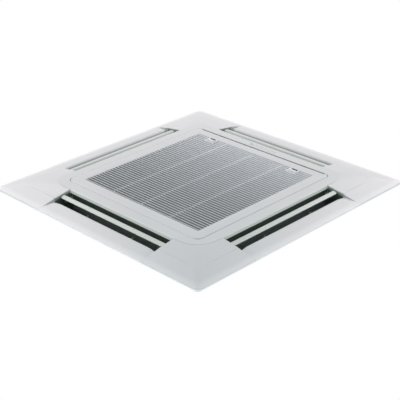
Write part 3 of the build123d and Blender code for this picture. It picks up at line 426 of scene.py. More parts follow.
def add_cover_end(work, rows, swap):
    """Wall that closes the cover beside the air slot, notched round the vane's pivot."""
    outline = [(row[0][1], row[0][2] - END_GAP) for row in rows[2:-2]]
    outline += [(END_REACH[1], END_FOOT), (NOTCH_FEET[1], END_FOOT)]
    for i in range(NOTCH_STEPS + 1):
        angle = math.radians(20 + 140 * i / NOTCH_STEPS)
        outline.append((PIVOT[0] + NOTCH_RADIUS * math.cos(angle),
                        PIVOT[1] + NOTCH_RADIUS * math.sin(angle)))
    outline += [(NOTCH_FEET[0], END_FOOT), (END_REACH[0], END_FOOT)]
    faces = []
    for x in (COVER_SIDE + 0.02, COVER_SIDE + COVER_WALL):
        ring = []
        for a, h in outline:
            place = (a, x) if swap else (x, a)
            ring.append(work.verts.new((place[0] * MM, place[1] * MM, -h * MM)))
        faces.append(ring)
    work.faces.new(faces[0])
    work.faces.new(faces[1][::-1])
    for i in range(len(outline)):
        j = (i + 1) % len(outline)
        work.faces.new([faces[0][i], faces[0][j], faces[1][j], faces[1][i]])


for corner, (sx, sy) in CORNERS.items():
    mesh = cover_mesh()
    mesh.transform(Matrix.Diagonal((sx, sy, 1, 1)))
    if sx * sy < 0:
        mesh.flip_normals()
    cover = add_object(f"corner_cover_{corner}_piece", mesh)
    put_material(cover, panel_white)
    smooth(cover, 28)
    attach(cover, "unit")
    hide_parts(f"corner_cover_{corner}")


# ---- Intake grille ----------------------------------------------------------------------
# Square frame with slats along its width and three ribs across them, of the same white
# plastic. It drops open on two pins at the front edge, which four lugs hold, has a finger
# groove along the rear one, and carries the filter.

# Sizes are in millimetres. Boxes are limits along X, Y and Z.
HINGE_X = 180.0
HINGE_Y = -287.0
HINGE_Z = -27.5
LUG_RADIUS = 4.0
LUG_STEPS = 12
LUG_OFFSET = 8.05
LUG_HALF = 2.95
LATCH_X = 190.0
PAD_HALF = 19.0
PAD_FACE = -32.8
PAD_BACK = -31.0
FIELD_HALF = 264.0
GRILLE_HALF = 304.6
GRILLE_FACE = 33.0
GRILLE_BACK = 20.0
TURN_STEPS = 10
SLAT_END = 264.5
SLAT_PITCH = 12.0
FIRST_SLAT = -258.0
FULL_SLATS = 42
SHORT_SLATS = 2
RIB_PLACES = (-132.0, 0.0, 132.0)
slat_sizes = {"Pitch": SLAT_PITCH, "Thickness": 2.8, "Depth": 11.6, "Top": -21.0,
              "Edge_Radius": 0.9}
rib_sizes = {"Pitch": 1.0, "Thickness": 7.0, "Depth": 7.9, "Top": -21.0, "Edge_Radius": 1.1}


def square_path(half, radius):
    """Points round a square with rounded corners."""
    points = []
    centre = half - radius
    for quarter, (cx, cy) in enumerate(((1, 1), (-1, 1), (-1, -1), (1, -1))):
        for i in range(TURN_STEPS + 1):
            angle = math.pi / 2 * (quarter + i / TURN_STEPS)
            points.append((cx * centre + radius * math.cos(angle),
                           cy * centre + radius * math.sin(angle)))
    return points


def square_ring(name, profile):
    """A closed ring from (half, radius, height) rows, each a rounded square."""
    work = bmesh.new()
    rows = []
    for half, radius, h in profile:
        path = square_path(half, radius)
        rows.append([work.verts.new((x * MM, y * MM, -h * MM)) for x, y in path])
    for i, first in enumerate(rows):
        second = rows[(i + 1) % len(rows)]
        for j in range(len(first)):
            k = (j + 1) % len(first)
            work.faces.new([first[j], first[k], second[k], second[j]])
    bmesh.ops.recalc_face_normals(work, faces=work.faces)
    mesh = bpy.data.meshes.new(name)
    work.to_mesh(mesh)
    work.free()
    return add_object(name, mesh)


def box_into(work, x0, x1, y0, y1, z0, z1):
    """Add a closed box, in millimetres, to a mesh."""
    made = bmesh.ops.create_cube(work, size=1.0)["verts"]
    bmesh.ops.scale(work, vec=((x1 - x0) * MM, (y1 - y0) * MM, (z1 - z0) * MM), verts=made)
    centre = Vector((x0 + x1, y0 + y1, z0 + z1)) * (MM / 2)
    bmesh.ops.translate(work, vec=centre, verts=made)


def box_object(name, boxes):
    """A piece of plain boxes, each given as its limits along X, Y and Z in millimetres."""
    work = bmesh.new()
    for sizes in boxes:
        box_into(work, *sizes)
    mesh = bpy.data.meshes.new(name)
    work.to_mesh(mesh)
    work.free()
    return add_object(name, mesh)


def bar_of(name, outline, x0, x1):
    """A bar along X with the section given as (y, z) points, in millimetres."""
    work = bmesh.new()
    ends = [[work.verts.new((x * MM, y * MM, z * MM)) for y, z in outline] for x in (x0, x1)]
    work.faces.new(ends[0][::-1])
    work.faces.new(ends[1])
    for i in range(len(outline)):
        j = (i + 1) % len(outline)
        work.faces.new([ends[0][i], ends[0][j], ends[1][j], ends[1][i]])
    bmesh.ops.recalc_face_normals(work, faces=work.faces)
    mesh = bpy.data.meshes.new(name)
    work.to_mesh(mesh)
    work.free()
    return add_object(name, mesh)


def cut(obj, boxes):
    """Take boxes out of a piece."""
    cutter = box_object("cutter", boxes)
    change = obj.modifiers.new("cut", "BOOLEAN")
    change.operation = "DIFFERENCE"
    change.solver = "EXACT"
    change.object = cutter
    settle(obj)
    bpy.data.objects.remove(cutter)


def join(target, *others):
    """Merge other pieces' meshes into one."""
    work = bmesh.new()
    work.from_mesh(target.data)
    for other in others:
        work.from_mesh(other.data)
        bpy.data.objects.remove(other)
    work.to_mesh(target.data)
    work.free()


def slat_tree():
    """Rows of rounded bars along X, one above the other along Y."""
    tree = bpy.data.node_groups.new("bar_rows", "GeometryNodeTree")
    socket(tree, "Geometry", "NodeSocketGeometry", "OUTPUT")
    socket(tree, "Rows", "NodeSocketInt", value=3)
    for name in ("Pitch", "First Row", "Left End", "Length", "Thickness", "Depth", "Top",
                 "Edge Radius"):
        socket(tree, name, "NodeSocketFloat", value=0.01)
    socket(tree, "Material", "NodeSocketMaterial")
    node = tree.nodes.new
    link = tree.links.new
    given = node("NodeGroupInput").outputs
    outline = node("GeometryNodeCurvePrimitiveQuadrilateral")
    link(given["Depth"], outline.inputs["Width"])
    link(given["Thickness"], outline.inputs["Height"])
    round_off = node("GeometryNodeFilletCurve")
    round_off.mode = "POLY"
    round_off.inputs["Count"].default_value = 2
    link(given["Edge Radius"], round_off.inputs["Radius"])
    link(outline.outputs["Curve"], round_off.inputs["Curve"])
    face = node("GeometryNodeFillCurve")
    face.mode = "NGONS"
    link(round_off.outputs["Curve"], face.inputs["Curve"])
    along = node("ShaderNodeCombineXYZ")
    along.inputs["Z"].default_value = 1.0
    pull = node("GeometryNodeExtrudeMesh")
    pull.inputs["Individual"].default_value = False
    link(face.outputs["Mesh"], pull.inputs["Mesh"])
    link(along.outputs["Vector"], pull.inputs["Offset"])
    link(given["Length"], pull.inputs["Offset Scale"])
    back = node("GeometryNodeFlipFaces")
    link(face.outputs["Mesh"], back.inputs["Mesh"])
    both = node("GeometryNodeJoinGeometry")
    link(pull.outputs["Mesh"], both.inputs["Geometry"])
    link(back.outputs["Mesh"], both.inputs["Geometry"])
    merged = node("GeometryNodeMergeByDistance")
    merged.inputs["Distance"].default_value = 1e-6
    link(both.outputs["Geometry"], merged.inputs["Geometry"])
    half_depth = node("ShaderNodeMath")
    half_depth.operation = "MULTIPLY_ADD"
    half_depth.inputs[1].default_value = -0.5
    link(given["Depth"], half_depth.inputs[0])
    link(given["Top"], half_depth.inputs[2])
    shift = node("ShaderNodeCombineXYZ")
    link(given["Left End"], shift.inputs["X"])
    link(half_depth.outputs["Value"], shift.inputs["Z"])
    turned = node("GeometryNodeTransform")
    turned.inputs["Rotation"].default_value = (0, math.pi / 2, 0)
    link(merged.outputs["Geometry"], turned.inputs["Geometry"])
    link(shift.outputs["Vector"], turned.inputs["Translation"])
    line = node("GeometryNodeMeshLine")
    link(given["Rows"], line.inputs["Count"])
    first = node("ShaderNodeCombineXYZ")
    link(given["First Row"], first.inputs["Y"])
    link(first.outputs["Vector"], line.inputs["Start Location"])
    step = node("ShaderNodeCombineXYZ")
    link(given["Pitch"], step.inputs["Y"])
    link(step.outputs["Vector"], line.inputs["Offset"])
    rows = node("GeometryNodeInstanceOnPoints")
    link(line.outputs["Mesh"], rows.inputs["Points"])
    link(turned.outputs["Geometry"], rows.inputs["Instance"])
    real = node("GeometryNodeRealizeInstances")
    link(rows.outputs["Instances"], real.inputs["Geometry"])
    paint = node("GeometryNodeSetMaterial")
    link(real.outputs["Geometry"], paint.inputs["Geometry"])
    link(given["Material"], paint.inputs["Material"])
    link(paint.outputs["Geometry"], node("NodeGroupOutput").inputs["Geometry"])
    return tree


bar_rows = slat_tree()


def bars(name, material, rows, **millimetres):
    """Rounded bars from the tree above, as plain mesh. Sizes are in millimetres."""
    obj = add_object(name, bpy.data.meshes.new(name))
    change = obj.modifiers.new("bars", "NODES")
    change.node_group = bar_rows
    names = {item.name: item.identifier for item in bar_rows.interface.items_tree
             if item.in_out == "INPUT"}
    change[names["Rows"]] = rows
    change[names["Material"]] = material
    for key, value in millimetres.items():
        change[names[key.replace("_", " ")]] = value * MM
    settle(obj)
    return obj


# Where each painted light and shade begins and ends: distances from the middle and heights, in
# metres.
SLAT_FIELD = 0.264
REAR_SPAN = (-0.20, 0.26)
GAP_SHADE_SPAN = (0.26, -0.10)
GAP_HEIGHT = (-0.0320, -0.0285)
FRONT_EDGE = (-0.3015, -0.3040)
WINDOW_PLACE = (0.190, 0.2645)
WINDOW_HALVES = (0.013, 0.003)
WINDOW_HEIGHT = (-0.0327, -0.0320)
REAR_PAINTED_LIGHT = (0.83, 0.855, 0.875)
GAP_PAINTED_SHADE = (0.43, 0.445, 0.46)
FRONT_EDGE_PAINTED_LIGHT = (0.83, 0.85, 0.855)
WINDOW_PAINTED_SHADE = (0.10, 0.104, 0.11)


def grille_plastic():
    """The white plastic, with painted light on the slats towards the rear and along the front
    edge, and painted shade in the gaps between the slats and under the latch windows' rear end."""
    finish = moulded("grille_moulding", WHITE, SATIN)
    far, _, z = finish.from_middle()
    y = finish.along("Y")
    in_field = finish.math("LESS_THAN", far, SLAT_FIELD)
    # Painted light: the slat field lighter towards the rear.
    finish.tint(finish.both(in_field, finish.between(y, *REAR_SPAN)), REAR_PAINTED_LIGHT)
    # Painted shade: the slats greyer down in their gaps, more towards the front.
    in_gap = finish.both(in_field, finish.between(z, *GAP_HEIGHT))
    finish.tint(finish.both(in_gap, finish.between(y, *GAP_SHADE_SPAN)), GAP_PAINTED_SHADE)
    # Painted light: the grille's front edge lighter, against the shade of its gap to the ring.
    finish.tint(finish.between(y, *FRONT_EDGE), FRONT_EDGE_PAINTED_LIGHT)
    # Painted shade under the rear end of each latch window.
    sideways = finish.math("ABSOLUTE", finish.along("X"))
    window = finish.between(z, *WINDOW_HEIGHT)
    for place, middle, half in zip((sideways, y), WINDOW_PLACE, WINDOW_HALVES):
        away = finish.math("ABSOLUTE", finish.math("SUBTRACT", place, middle))
        window = finish.both(window, finish.math("LESS_THAN", away, half))
    finish.tint(window, WINDOW_PAINTED_SHADE)
    return finish.material


grille_white = grille_plastic()
grille = square_ring("intake_grille_piece", (
    (GRILLE_HALF, 22.0, GRILLE_BACK), (GRILLE_HALF, 22.0, 31.4), (304.2, 21.6, 32.3),
    (303.3, 20.8, 32.9), (302.0, 19.6, GRILLE_FACE), (266.0, 3.2, GRILLE_FACE),
    (264.6, 2.4, 32.8), (FIELD_HALF, 2.0, 32.0), (FIELD_HALF, 2.0, GRILLE_BACK),
    (266.0, 3.0, GRILLE_BACK), (266.0, 3.0, 31.0), (302.4, 19.8, 31.0),
    (302.4, 19.8, GRILLE_BACK)))

# The frame is open round the hinge arms, over the finger groove and behind the latches.
arm_windows = [(x - 5.1, x + 5.1, -306, -301.8, -30.9, -19) for x in (-HINGE_X, HINGE_X)]
groove_opening = [(-285, 285, 297.6, 307, -34, -28)]
bar_windows = [(x - 10.6, x + 10.6, 262, 306, -30.9, -25.9) for x in (-LATCH_X, LATCH_X)]
for boxes in (arm_windows, groove_opening, bar_windows):
    cut(grille, boxes)
groove_walls = []
for x0, x1 in ((-286, -200.6), (-179.4, 179.4), (200.6, 286)):
    groove_walls += [(x0, x1, 295.6, 297.7, -32.4, -26.2), (x0, x1, 297.5, 303.8, -28.1, -26.2)]
finger_groove = box_object("finger_groove", groove_walls)

# The last two slats stop at the latch pads.
slats = [bars("slats_full", grille_white, FULL_SLATS, First_Row=FIRST_SLAT, Left_End=-SLAT_END,
              Length=2 * SLAT_END, **slat_sizes)]
for i, (x0, x1) in enumerate(((-SLAT_END, -LATCH_X - PAD_HALF),
                              (-LATCH_X + PAD_HALF, LATCH_X - PAD_HALF),
                              (LATCH_X + PAD_HALF, SLAT_END))):
    slats.append(bars(f"slats_short_{i}", grille_white, SHORT_SLATS, Left_End=x0, Length=x1 - x0,
                      First_Row=FIRST_SLAT + FULL_SLATS * SLAT_PITCH, **slat_sizes))
ribs = []
for i, x in enumerate(RIB_PLACES):
    rib = bars(f"cross_rib_{i}", grille_white, 1, First_Row=0.0, Left_End=-SLAT_END,
               Length=2 * SLAT_END, **rib_sizes)
    rib.data.transform(Matrix.Translation((x * MM, 0, 0)) @ Matrix.Rotation(math.pi / 2, 4, "Z"))
    ribs.append(rib)

# Each pad is a face open to the rear, where the bar shows, with a wall down either side.
pad_boxes = []
for x in (-LATCH_X, LATCH_X):
    pad_boxes.append((x - PAD_HALF, x + PAD_HALF, 236, 248.4, PAD_FACE, PAD_BACK))
    for x0, x1 in ((x - PAD_HALF, x - 13), (x + 13, x + PAD_HALF)):
        pad_boxes.append((x0, x1, 248.2, 265, PAD_FACE, PAD_BACK))
    for x0, x1 in ((x - PAD_HALF, x - 17.4), (x + 17.4, x + PAD_HALF)):
        pad_boxes.append((x0, x1, 236, 264.4, -31.2, -20.6))
latch_pads = box_object("latch_pads", pad_boxes)

lug_outline = [(HINGE_Y - LUG_RADIUS, -31.4), (HINGE_Y + LUG_RADIUS, -31.4)]
for i in range(LUG_STEPS + 1):
    angle = math.pi * i / LUG_STEPS
    lug_outline.append((HINGE_Y + LUG_RADIUS * math.cos(angle),
                        HINGE_Z + LUG_RADIUS * math.sin(angle)))
lugs = []
for x in (-HINGE_X - LUG_OFFSET, -HINGE_X + LUG_OFFSET, HINGE_X - LUG_OFFSET,
          HINGE_X + LUG_OFFSET):
    lugs.append(bar_of("hinge_lug", lug_outline, x - LUG_HALF, x + LUG_HALF))
for extra in (grille, latch_pads, finger_groove, *lugs):
    put_material(extra, grille_white)
join(grille, *slats, *ribs, latch_pads, finger_groove, *lugs)
smooth(grille, 40)
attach(grille, "grille")
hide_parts("intake_grille")


# ---- Grille latches ---------------------------------------------------------------------
# Two small slides near the rear edge of the grille. A white tab on the face is pushed with a
# thumb, and the bar under it, darkened by painted shade, runs into a window of the frame.
TAB_WHITE = (0.70, 0.72, 0.725)
BAR_PAINTED_SHADE = (0.06, 0.062, 0.064)
BAR_HEIGHT = (-0.0322, -0.0305)
latch_finish = moulded("latch_moulding", TAB_WHITE, SATIN)
# Painted shade: the slide darker with depth behind its face.
latch_finish.tint(latch_finish.between(latch_finish.along("Z"), *BAR_HEIGHT), BAR_PAINTED_SHADE)
for side in ("left", "right"):
    softened(f"grille_latch_{side}", 0.5, f"latch_{side}",
             latch_finish.material)


# ---- Air vanes --------------------------------------------------------------------------
# One bent blade in each slot, moulded in the same white plastic, given a darker, greener colour
# as painted shade for the shadow of the slot. It swings on a journal at each end.
SIDES = ("front", "right", "rear", "left")
# Painted shade: a darker, greener copy of the white plastic.
vane_moulding = moulded("vane_moulding", (0.575, 0.63, 0.59), 0.34).material
for side in SIDES:
    softened(f"vane_{side}", 0.35, f"air_vane_{side}", vane_moulding)


# ---- Motors and bushes of the vanes -----------------------------------------------------
# A small stepper in a painted steel can turns each vane from under a corner cover. The other
# journal runs in a plain grey bush.
def painted(name, colour, roughness):
    """Sheet metal under a thin coat of paint, slightly uneven."""
    finish = Finish(name, colour, roughness)
    grain_node = finish.group(fine_grain, Grains_per_Metre=400.0, Drift_per_Metre=25.0)
    finish.blend_colour(grain_node.outputs["Drift"], tuple(c * 0.85 for c in colour), colour)
    finish.vary_roughness(grain_node.outputs["Drift"], roughness - 0.08, roughness + 0.1)
    finish.bump(grain_node.outputs["Height"], 0.00004)
    return finish.material


motor_steel = painted("motor_steel", (0.20, 0.21, 0.22), 0.42)
grey_moulding = moulded("grey_moulding", (0.10, 0.105, 0.11), 0.5, grain=700, tone=0.85).material
for side in SIDES:
    put_material(nodes[f"vane_motor_{side}"], motor_steel)
put_material(nodes["vane_bushes"], grey_moulding)


# ---- Receiver and lamps -----------------------------------------------------------------
# A smooth window in the rear of the raised ring covers the remote control's receiver, with
# four small indicator lamps beside it.
POLISHED = {"grain": 300, "depth": 0.000004}
window_moulding = moulded("window_moulding", (0.63, 0.65, 0.655), 0.16, **POLISHED).material
lamp_resin = moulded("lamp_resin", (0.33, 0.35, 0.34), 0.12, **POLISHED).material
softened("receiver_window", 0.4, "unit", window_moulding)
put_material(nodes["indicator_lamps"], lamp_resin)
put_material(nodes["receiver_housing"], grey_moulding)


# ---- Gaskets and seals ------------------------------------------------------------------
# Closed cell foam strips: a thin pale grey one between the rim and the ceiling, and dark ones
# between the panel's outlets and the body, with painted light near the covers' edges. The
# same dark foam lines the outlets, partly as painted shade for their depth.
DARK_FOAM = (0.11, 0.14, 0.115)
FOAM_PAINTED_LIGHT = (0.52, 0.60, 0.52)
PAINTED_LIGHT_DEPTH = (0.013, 0.001)
COVER_SLOPE = -0.1508
COVER_LEVEL = 0.0834


def cellular(name, colour, cells, depth):
    """Foam with open dark cells, so many to a metre."""
    finish = Finish(name, colour, 0.9)
    cell = finish.add("ShaderNodeTexVoronoi", Scale=cells)
    finish.link(finish.place, cell.inputs["Vector"])
    finish.blend_colour(cell.outputs["Distance"], tuple(c * 0.6 for c in colour), colour, 0.1, 0.6)
    finish.bump(cell.outputs["Distance"], depth)
    return finish


def foam_with_painted_light():
    """Seal foam with painted light: lighter where it reaches up to the line of a cover's edge."""
    finish = cellular("seal_foam", DARK_FOAM, 700.0, 0.0004)
    far, _, z = finish.from_middle()
    edge = finish.math("MULTIPLY_ADD", far, COVER_SLOPE, COVER_LEVEL)
    under_edge = finish.math("ADD", edge, z)
    # Painted light: the foam lighter towards the line of the cover's edge, darker deeper in.
    finish.tint(finish.between(under_edge, *PAINTED_LIGHT_DEPTH), FOAM_PAINTED_LIGHT)
    return finish.material


grey_foam = cellular("grey_foam", (0.56, 0.58, 0.58), 900.0, 0.0003).material
put_material(nodes["rim_gasket"], grey_foam)
put_material(nodes["outlet_seals"], foam_with_painted_light())
# The outlets' dark lining is partly painted shade for the depth of the outlets.
put_material(nodes["foam_lining"], cellular("dark_foam", DARK_FOAM, 700.0, 0.0004).material)


# ---- Air filter -------------------------------------------------------------------------
# A frame of dark plastic clipped on the grille's back, with a woven net in its groove. The
# net is nylon thread at 3 mm, and swings down with the grille.
NET_PITCH = 3.0
NET_HALF = 265.5
net_rows = int(2 * NET_HALF / NET_PITCH) + 1
net_sizes = {"Pitch": NET_PITCH, "First_Row": -NET_HALF, "Left_End": -NET_HALF,
             "Length": 2 * NET_HALF, "Thickness": 0.55, "Depth": 0.5, "Edge_Radius": 0.12}
net_finish = moulded("dark_net", (0.03, 0.03, 0.032), 0.6, grain=1500, tone=0.7).material
put_material(nodes["filter_frame"], grey_moulding)
weft = bars("filter_net_piece", net_finish, net_rows, Top=-17.9, **net_sizes)
warp = bars("filter_net_warp", net_finish, net_rows, Top=-17.6, **net_sizes)
warp.data.transform(Matrix.Rotation(math.pi / 2, 4, "Z"))
join(weft, warp)
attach(weft, "grille")
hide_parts("filter_net")


# ---- Zinc plated fixings ----------------------------------------------------------------
# Screws, hinge pins, shaft and nut are turned or headed steel with bright zinc plating, which
# is a little uneven and duller in patches.
def plated(name, colour, roughness, patches=60.0, darker=0.8):
    """Bare or plated metal, a little darker in patches, so many to a metre."""
    finish = Finish(name, colour, roughness)
    finish.shader.inputs["Metallic"].default_value = 1.0
    grain_node = finish.group(fine_grain, Grains_per_Metre=1200.0, Drift_per_Metre=patches)
    finish.blend_colour(grain_node.outputs["Drift"], tuple(c * darker for c in colour), colour)
    finish.vary_roughness(grain_node.outputs["Drift"], roughness - 0.08, roughness + 0.12)
    finish.bump(grain_node.outputs["Height"], 0.00002)
    return finish.material


zinc_steel = plated("zinc_steel", (0.60, 0.61, 0.62), 0.34)
for name in ("panel_screws", "grille_hinge_pins", "casing_screws", "motor_shaft", "fan_nut"):
    put_material(nodes[name], zinc_steel)


# ---- Casing -----------------------------------------------------------------------------
# The body above the ceiling is folded from galvanised sheet, with the crystals of the zinc
# showing. A pressed top plate, four hanging brackets and the pipe plate are the same sheet.
def spangle_group():
    """Zinc crystals: patches of slightly different tone with feathered borders."""
    group = bpy.data.node_groups.new("zinc_spangle", "ShaderNodeTree")
    socket(group, "Vector", "NodeSocketVector")
    socket(group, "Crystals per Metre", "NodeSocketFloat", value=85.0)
    socket(group, "Tone", "NodeSocketFloat", "OUTPUT")
    socket(group, "Height", "NodeSocketFloat", "OUTPUT")
    given = group.nodes.new("NodeGroupInput")
    result = group.nodes.new("NodeGroupOutput")
    bend = group.nodes.new("ShaderNodeTexNoise")
    bend.inputs["Scale"].default_value = 160.0
    mix = group.nodes.new("ShaderNodeMix")
    mix.data_type = "VECTOR"
    mix.inputs["Factor"].default_value = 0.012
    crystal = group.nodes.new("ShaderNodeTexVoronoi")
    tone = group.nodes.new("ShaderNodeSeparateColor")
    group.links.new(given.outputs["Vector"], bend.inputs["Vector"])
    group.links.new(given.outputs["Vector"], mix.inputs[4])
    group.links.new(bend.outputs["Color"], mix.inputs[5])
    group.links.new(mix.outputs[1], crystal.inputs["Vector"])
    group.links.new(given.outputs["Crystals per Metre"], crystal.inputs["Scale"])
    group.links.new(crystal.outputs["Color"], tone.inputs["Color"])
    group.links.new(tone.outputs["Red"], result.inputs["Tone"])
    group.links.new(crystal.outputs["Distance"], result.inputs["Height"])
    return group


zinc_spangle = spangle_group()
ZINC = (0.50, 0.52, 0.53)
DULL_ZINC = (0.40, 0.42, 0.43)
BRIGHT_ZINC = (0.56, 0.58, 0.59)


def galvanised_sheet():
    finish = Finish("galvanised_steel", ZINC, 0.42)
    finish.shader.inputs["Metallic"].default_value = 0.85
    crystals = finish.group(zinc_spangle)
    finish.blend_colour(crystals.outputs["Tone"], DULL_ZINC, BRIGHT_ZINC, 0.0, 1.0)
    finish.vary_roughness(crystals.outputs["Tone"], 0.36, 0.5)
    finish.bump(crystals.outputs["Height"], 0.00003)
    return finish.material


galvanised = galvanised_sheet()
for name in ("casing_wall", "pipe_plate", "coil_end_plates", "pump_bracket", "control_box",
             "control_lid"):
    put_material(nodes[name], galvanised)
softened("top_plate", 0.8, "unit", galvanised)
for corner in CORNERS:
    softened(f"hanger_bracket_{corner}", 0.5, "unit", galvanised)


# ---- Drain pan --------------------------------------------------------------------------
# Pan of greyish green expanded polystyrene, which fills the foot of the casing under the coil.
# A rubber plug closes its drain, and the same rubber makes the feet, sensors and grommet.
pan_foam = cellular("pan_foam", (0.30, 0.36, 0.31), 260.0, 0.0005).material
black_rubber = moulded("black_rubber", (0.018, 0.018, 0.018), 0.7, grain=500, tone=0.7).material
put_material(nodes["drain_pan"], pan_foam)
for name in ("drain_plug", "motor_feet", "sensors", "cable_grommet"):
    put_material(nodes[name], black_rubber)


# ---- Heat exchanger ---------------------------------------------------------------------
# Aluminium fins pressed on copper tube, bent round the fan. The fins stand about 1.6 mm
# apart, with painted shade dark between them, and the tubes show as copper bends at the coil's
# ends.
ALUMINIUM = (0.62, 0.66, 0.70)
FIN_GAP_PAINTED_SHADE = (0.05, 0.05, 0.055)


def fin_finish():
    finish = Finish("coil_fins", ALUMINIUM, 0.4)
    finish.shader.inputs["Metallic"].default_value = 0.9
    turn = finish.add("ShaderNodeMapping")
    turn.inputs["Rotation"].default_value = (0, 0, math.radians(45))
    finish.link(finish.place, turn.inputs["Vector"])
    fins = finish.add("ShaderNodeTexWave", Scale=140.0)
    fins.inputs["Distortion"].default_value = 0.4
    finish.link(turn.outputs["Vector"], fins.inputs["Vector"])
    # Painted shade: dark stripes for the gaps between the fins.
    finish.blend_colour(fins.outputs["Fac"], FIN_GAP_PAINTED_SHADE, ALUMINIUM, 0.15, 0.6)
    finish.bump(fins.outputs["Fac"], 0.0006)
    return finish.material


put_material(nodes["fin_pack"], fin_finish())
copper = plated("copper", (0.72, 0.36, 0.20), 0.3, patches=80.0, darker=0.65)
brass = plated("brass", (0.72, 0.54, 0.24), 0.28, patches=120.0, darker=0.8)
for name in ("coil_tubes", "gas_pipe", "liquid_pipe"):
    put_material(nodes[name], copper)
put_material(nodes["flare_unions"], brass)


# ---- Fan --------------------------------------------------------------------------------
# A backward curved fan of dark plastic on a motor hung from the top plate by rubber feet.
# Room air reaches it through the bell mouth.
fan_moulding = moulded("fan_moulding", (0.022, 0.022, 0.024), 0.42, grain=500, tone=0.8).material
put_material(nodes["turbo_fan"], fan_moulding)
put_material(nodes["bell_mouth"], fan_moulding)
put_material(nodes["fan_motor"], motor_steel)


# ---- Control box ------------------------------------------------------------------------
# A sheet box beside the bell mouth holds the circuit board and the terminal block. The board
# is green laminate, and its parts below it are dark.
LAMINATE = (0.02, 0.11, 0.045)
BOARD_PARTS = (0.03, 0.03, 0.035)
BOARD_FACE = 0.0349


def board_finish():
    finish = Finish("board_laminate", LAMINATE, 0.35)
    above = finish.math("GREATER_THAN", finish.along("Z"), BOARD_FACE)
    finish.blend_colour(above, BOARD_PARTS, LAMINATE, 0.4, 0.6)
    track = finish.add("ShaderNodeTexVoronoi", Scale=220.0, feature="DISTANCE_TO_EDGE")
    finish.link(finish.place, track.inputs["Vector"])
    finish.bump(track.outputs["Distance"], 0.0001)
    return finish.material


put_material(nodes["circuit_board"], board_finish())
put_material(nodes["terminal_block"], grey_moulding)


# ---- Condensate pump --------------------------------------------------------------------
# A small pump lifts the water out of the pan, switched by a float. Its pipe leaves through
# the casing beside the refrigerant pipes.
for name in ("drain_pump", "float_switch", "drain_socket"):
    put_material(nodes[name], grey_moulding)
put_material(nodes["float_ring"], white_moulding)


# ---- Ceiling, light and camera ----------------------------------------------------------
# The panel is seen from below, so its floor is a white ceiling with a hole for the body, which
# shows only from the room's side. Two soft lamps stand to the right and the rear, two small
# ones to the left and the front, and one above the ceiling for the views from there.
CEILING_HOLE = 0.428
CEILING_REACH = 9.0
CEILING_LEVEL = 0.0006


def ceiling_material():
    """White to the camera from the room's side, and clear to everything else."""
    material = bpy.data.materials.new("ceiling_white")
    material.use_nodes = True
    tree = material.node_tree
    tree.nodes.remove(tree.nodes["Principled BSDF"])
    output = tree.nodes["Material Output"]
    clear = tree.nodes.new("ShaderNodeBsdfTransparent")
    white = tree.nodes.new("ShaderNodeEmission")
    path = tree.nodes.new("ShaderNodeLightPath")
    side = tree.nodes.new("ShaderNodeNewGeometry")
    seen = tree.nodes.new("ShaderNodeMath")
    seen.operation = "SUBTRACT"
    seen.use_clamp = True
    mix = tree.nodes.new("ShaderNodeMixShader")
    tree.links.new(path.outputs["Is Camera Ray"], seen.inputs[0])
    tree.links.new(side.outputs["Backfacing"], seen.inputs[1])
    tree.links.new(seen.outputs["Value"], mix.inputs["Fac"])
    tree.links.new(clear.outputs["BSDF"], mix.inputs[1])
    tree.links.new(white.outputs["Emission"], mix.inputs[2])
    tree.links.new(mix.outputs["Shader"], output.inputs["Surface"])
    return material


def square_of(work, half):
    """Four corner points at the ceiling's level."""
    return [work.verts.new((x * half, y * half, CEILING_LEVEL))
            for x, y in ((-1, -1), (1, -1), (1, 1), (-1, 1))]


work = bmesh.new()
inner = square_of(work, CEILING_HOLE)
outer = square_of(work, CEILING_REACH)
for i in range(4):
    j = (i + 1) % 4
    work.faces.new([inner[i], inner[j], outer[j], outer[i]])
for face in work.faces:
    face.normal_update()
    if face.normal.z > 0:
        face.normal_flip()
ceiling_mesh = bpy.data.meshes.new("ceiling")
work.to_mesh(ceiling_mesh)
work.free()
ceiling = add_object("ceiling", ceiling_mesh)
ceiling.data.materials.append(ceiling_material())

# The room's light is a plain grey, which the camera and reflections see as white.
AMBIENT = (0.462, 0.52, 0.54, 1.0)
world = bpy.data.worlds.new("room")
bpy.context.scene.world = world
world.use_nodes = True
tree = world.node_tree
background = tree.nodes["Background"]
path = tree.nodes.new("ShaderNodeLightPath")
glow = tree.nodes.new("ShaderNodeMix")
glow.data_type = "RGBA"
glow.inputs[6].default_value = AMBIENT
glow.inputs[7].default_value = (1, 1, 1, 1)
total = path.outputs["Is Camera Ray"]
for kind in ("Is Glossy Ray", "Is Transmission Ray"):
    larger = tree.nodes.new("ShaderNodeMath")
    larger.operation = "MAXIMUM"
    tree.links.new(total, larger.inputs[0])
    tree.links.new(path.outputs[kind], larger.inputs[1])
    total = larger.outputs["Value"]
tree.links.new(total, glow.inputs["Factor"])
tree.links.new(glow.outputs[2], background.inputs["Color"])


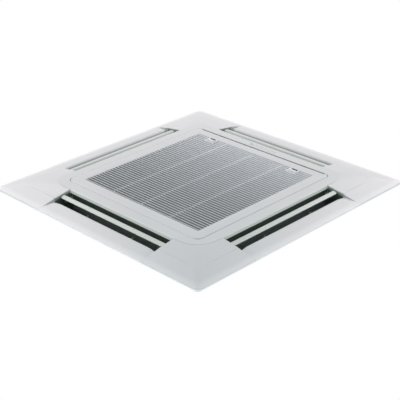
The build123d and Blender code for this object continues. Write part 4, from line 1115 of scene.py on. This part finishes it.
def soft_lamp(name, place, size, watts, colour=(1, 1, 1), aim=(0, 0, 0)):
    """A square area lamp that looks at a point."""
    data = bpy.data.lights.new(name, "AREA")
    data.color = colour
    data.shape = "SQUARE"
    data.size = size
    data.energy = watts
    lamp = bpy.data.objects.new(name, data)
    lamp.location = place
    lamp.rotation_mode = "QUATERNION"
    lamp.rotation_quaternion = (Vector(aim) - Vector(place)).to_track_quat("-Z", "Y")
    bpy.context.scene.collection.objects.link(lamp)


WARM = (1.0, 0.85, 0.845)
soft_lamp("right_light", (2.457, 0, -1.721), size=1.8, watts=37, colour=WARM)
soft_lamp("rear_light", (0, 2.457, -1.721), size=1.8, watts=36, colour=WARM)
soft_lamp("left_light", (-2.978, 0, -0.366), size=0.5, watts=4.5)
soft_lamp("front_light", (0, -2.978, -0.366), size=0.5, watts=6.5)
soft_lamp("loft_light", (-1.6, -1.9, 2.4), size=2.0, watts=60, aim=(0, 0, 0.1))

# The camera looks up at the panel's front left corner. Angles are those of a camera that
# looks down on the panel laid on its back, turned over with it.
DISTANCE = 3.3964
ACROSS = -0.0036
DOWN = 0.0446
TURN = math.radians(225.74)
RISE = math.radians(26.30)
ROLL = math.radians(-1.23)
LENS = 92.7
gaze = -Vector((math.cos(RISE) * math.sin(TURN), math.cos(RISE) * math.cos(TURN),
                -math.sin(RISE)))
level_right = gaze.cross(Vector((0, 0, -1))).normalized()
level_up = level_right.cross(gaze)
right = math.cos(ROLL) * level_right + math.sin(ROLL) * level_up
up = math.cos(ROLL) * level_up - math.sin(ROLL) * level_right
camera_data = bpy.data.cameras.new("camera")
camera_data.lens = LENS
camera_data.sensor_width = 36.0
camera_data.clip_end = 50.0
camera = bpy.data.objects.new("camera", camera_data)
bpy.context.scene.collection.objects.link(camera)
camera.matrix_world = Matrix.Translation(
    -gaze * DISTANCE - right * ACROSS - up * DOWN) @ Matrix(
    (right, up, -gaze)).transposed().to_4x4()
bpy.context.scene.camera = camera
bpy.context.scene.view_settings.view_transform = "Standard"
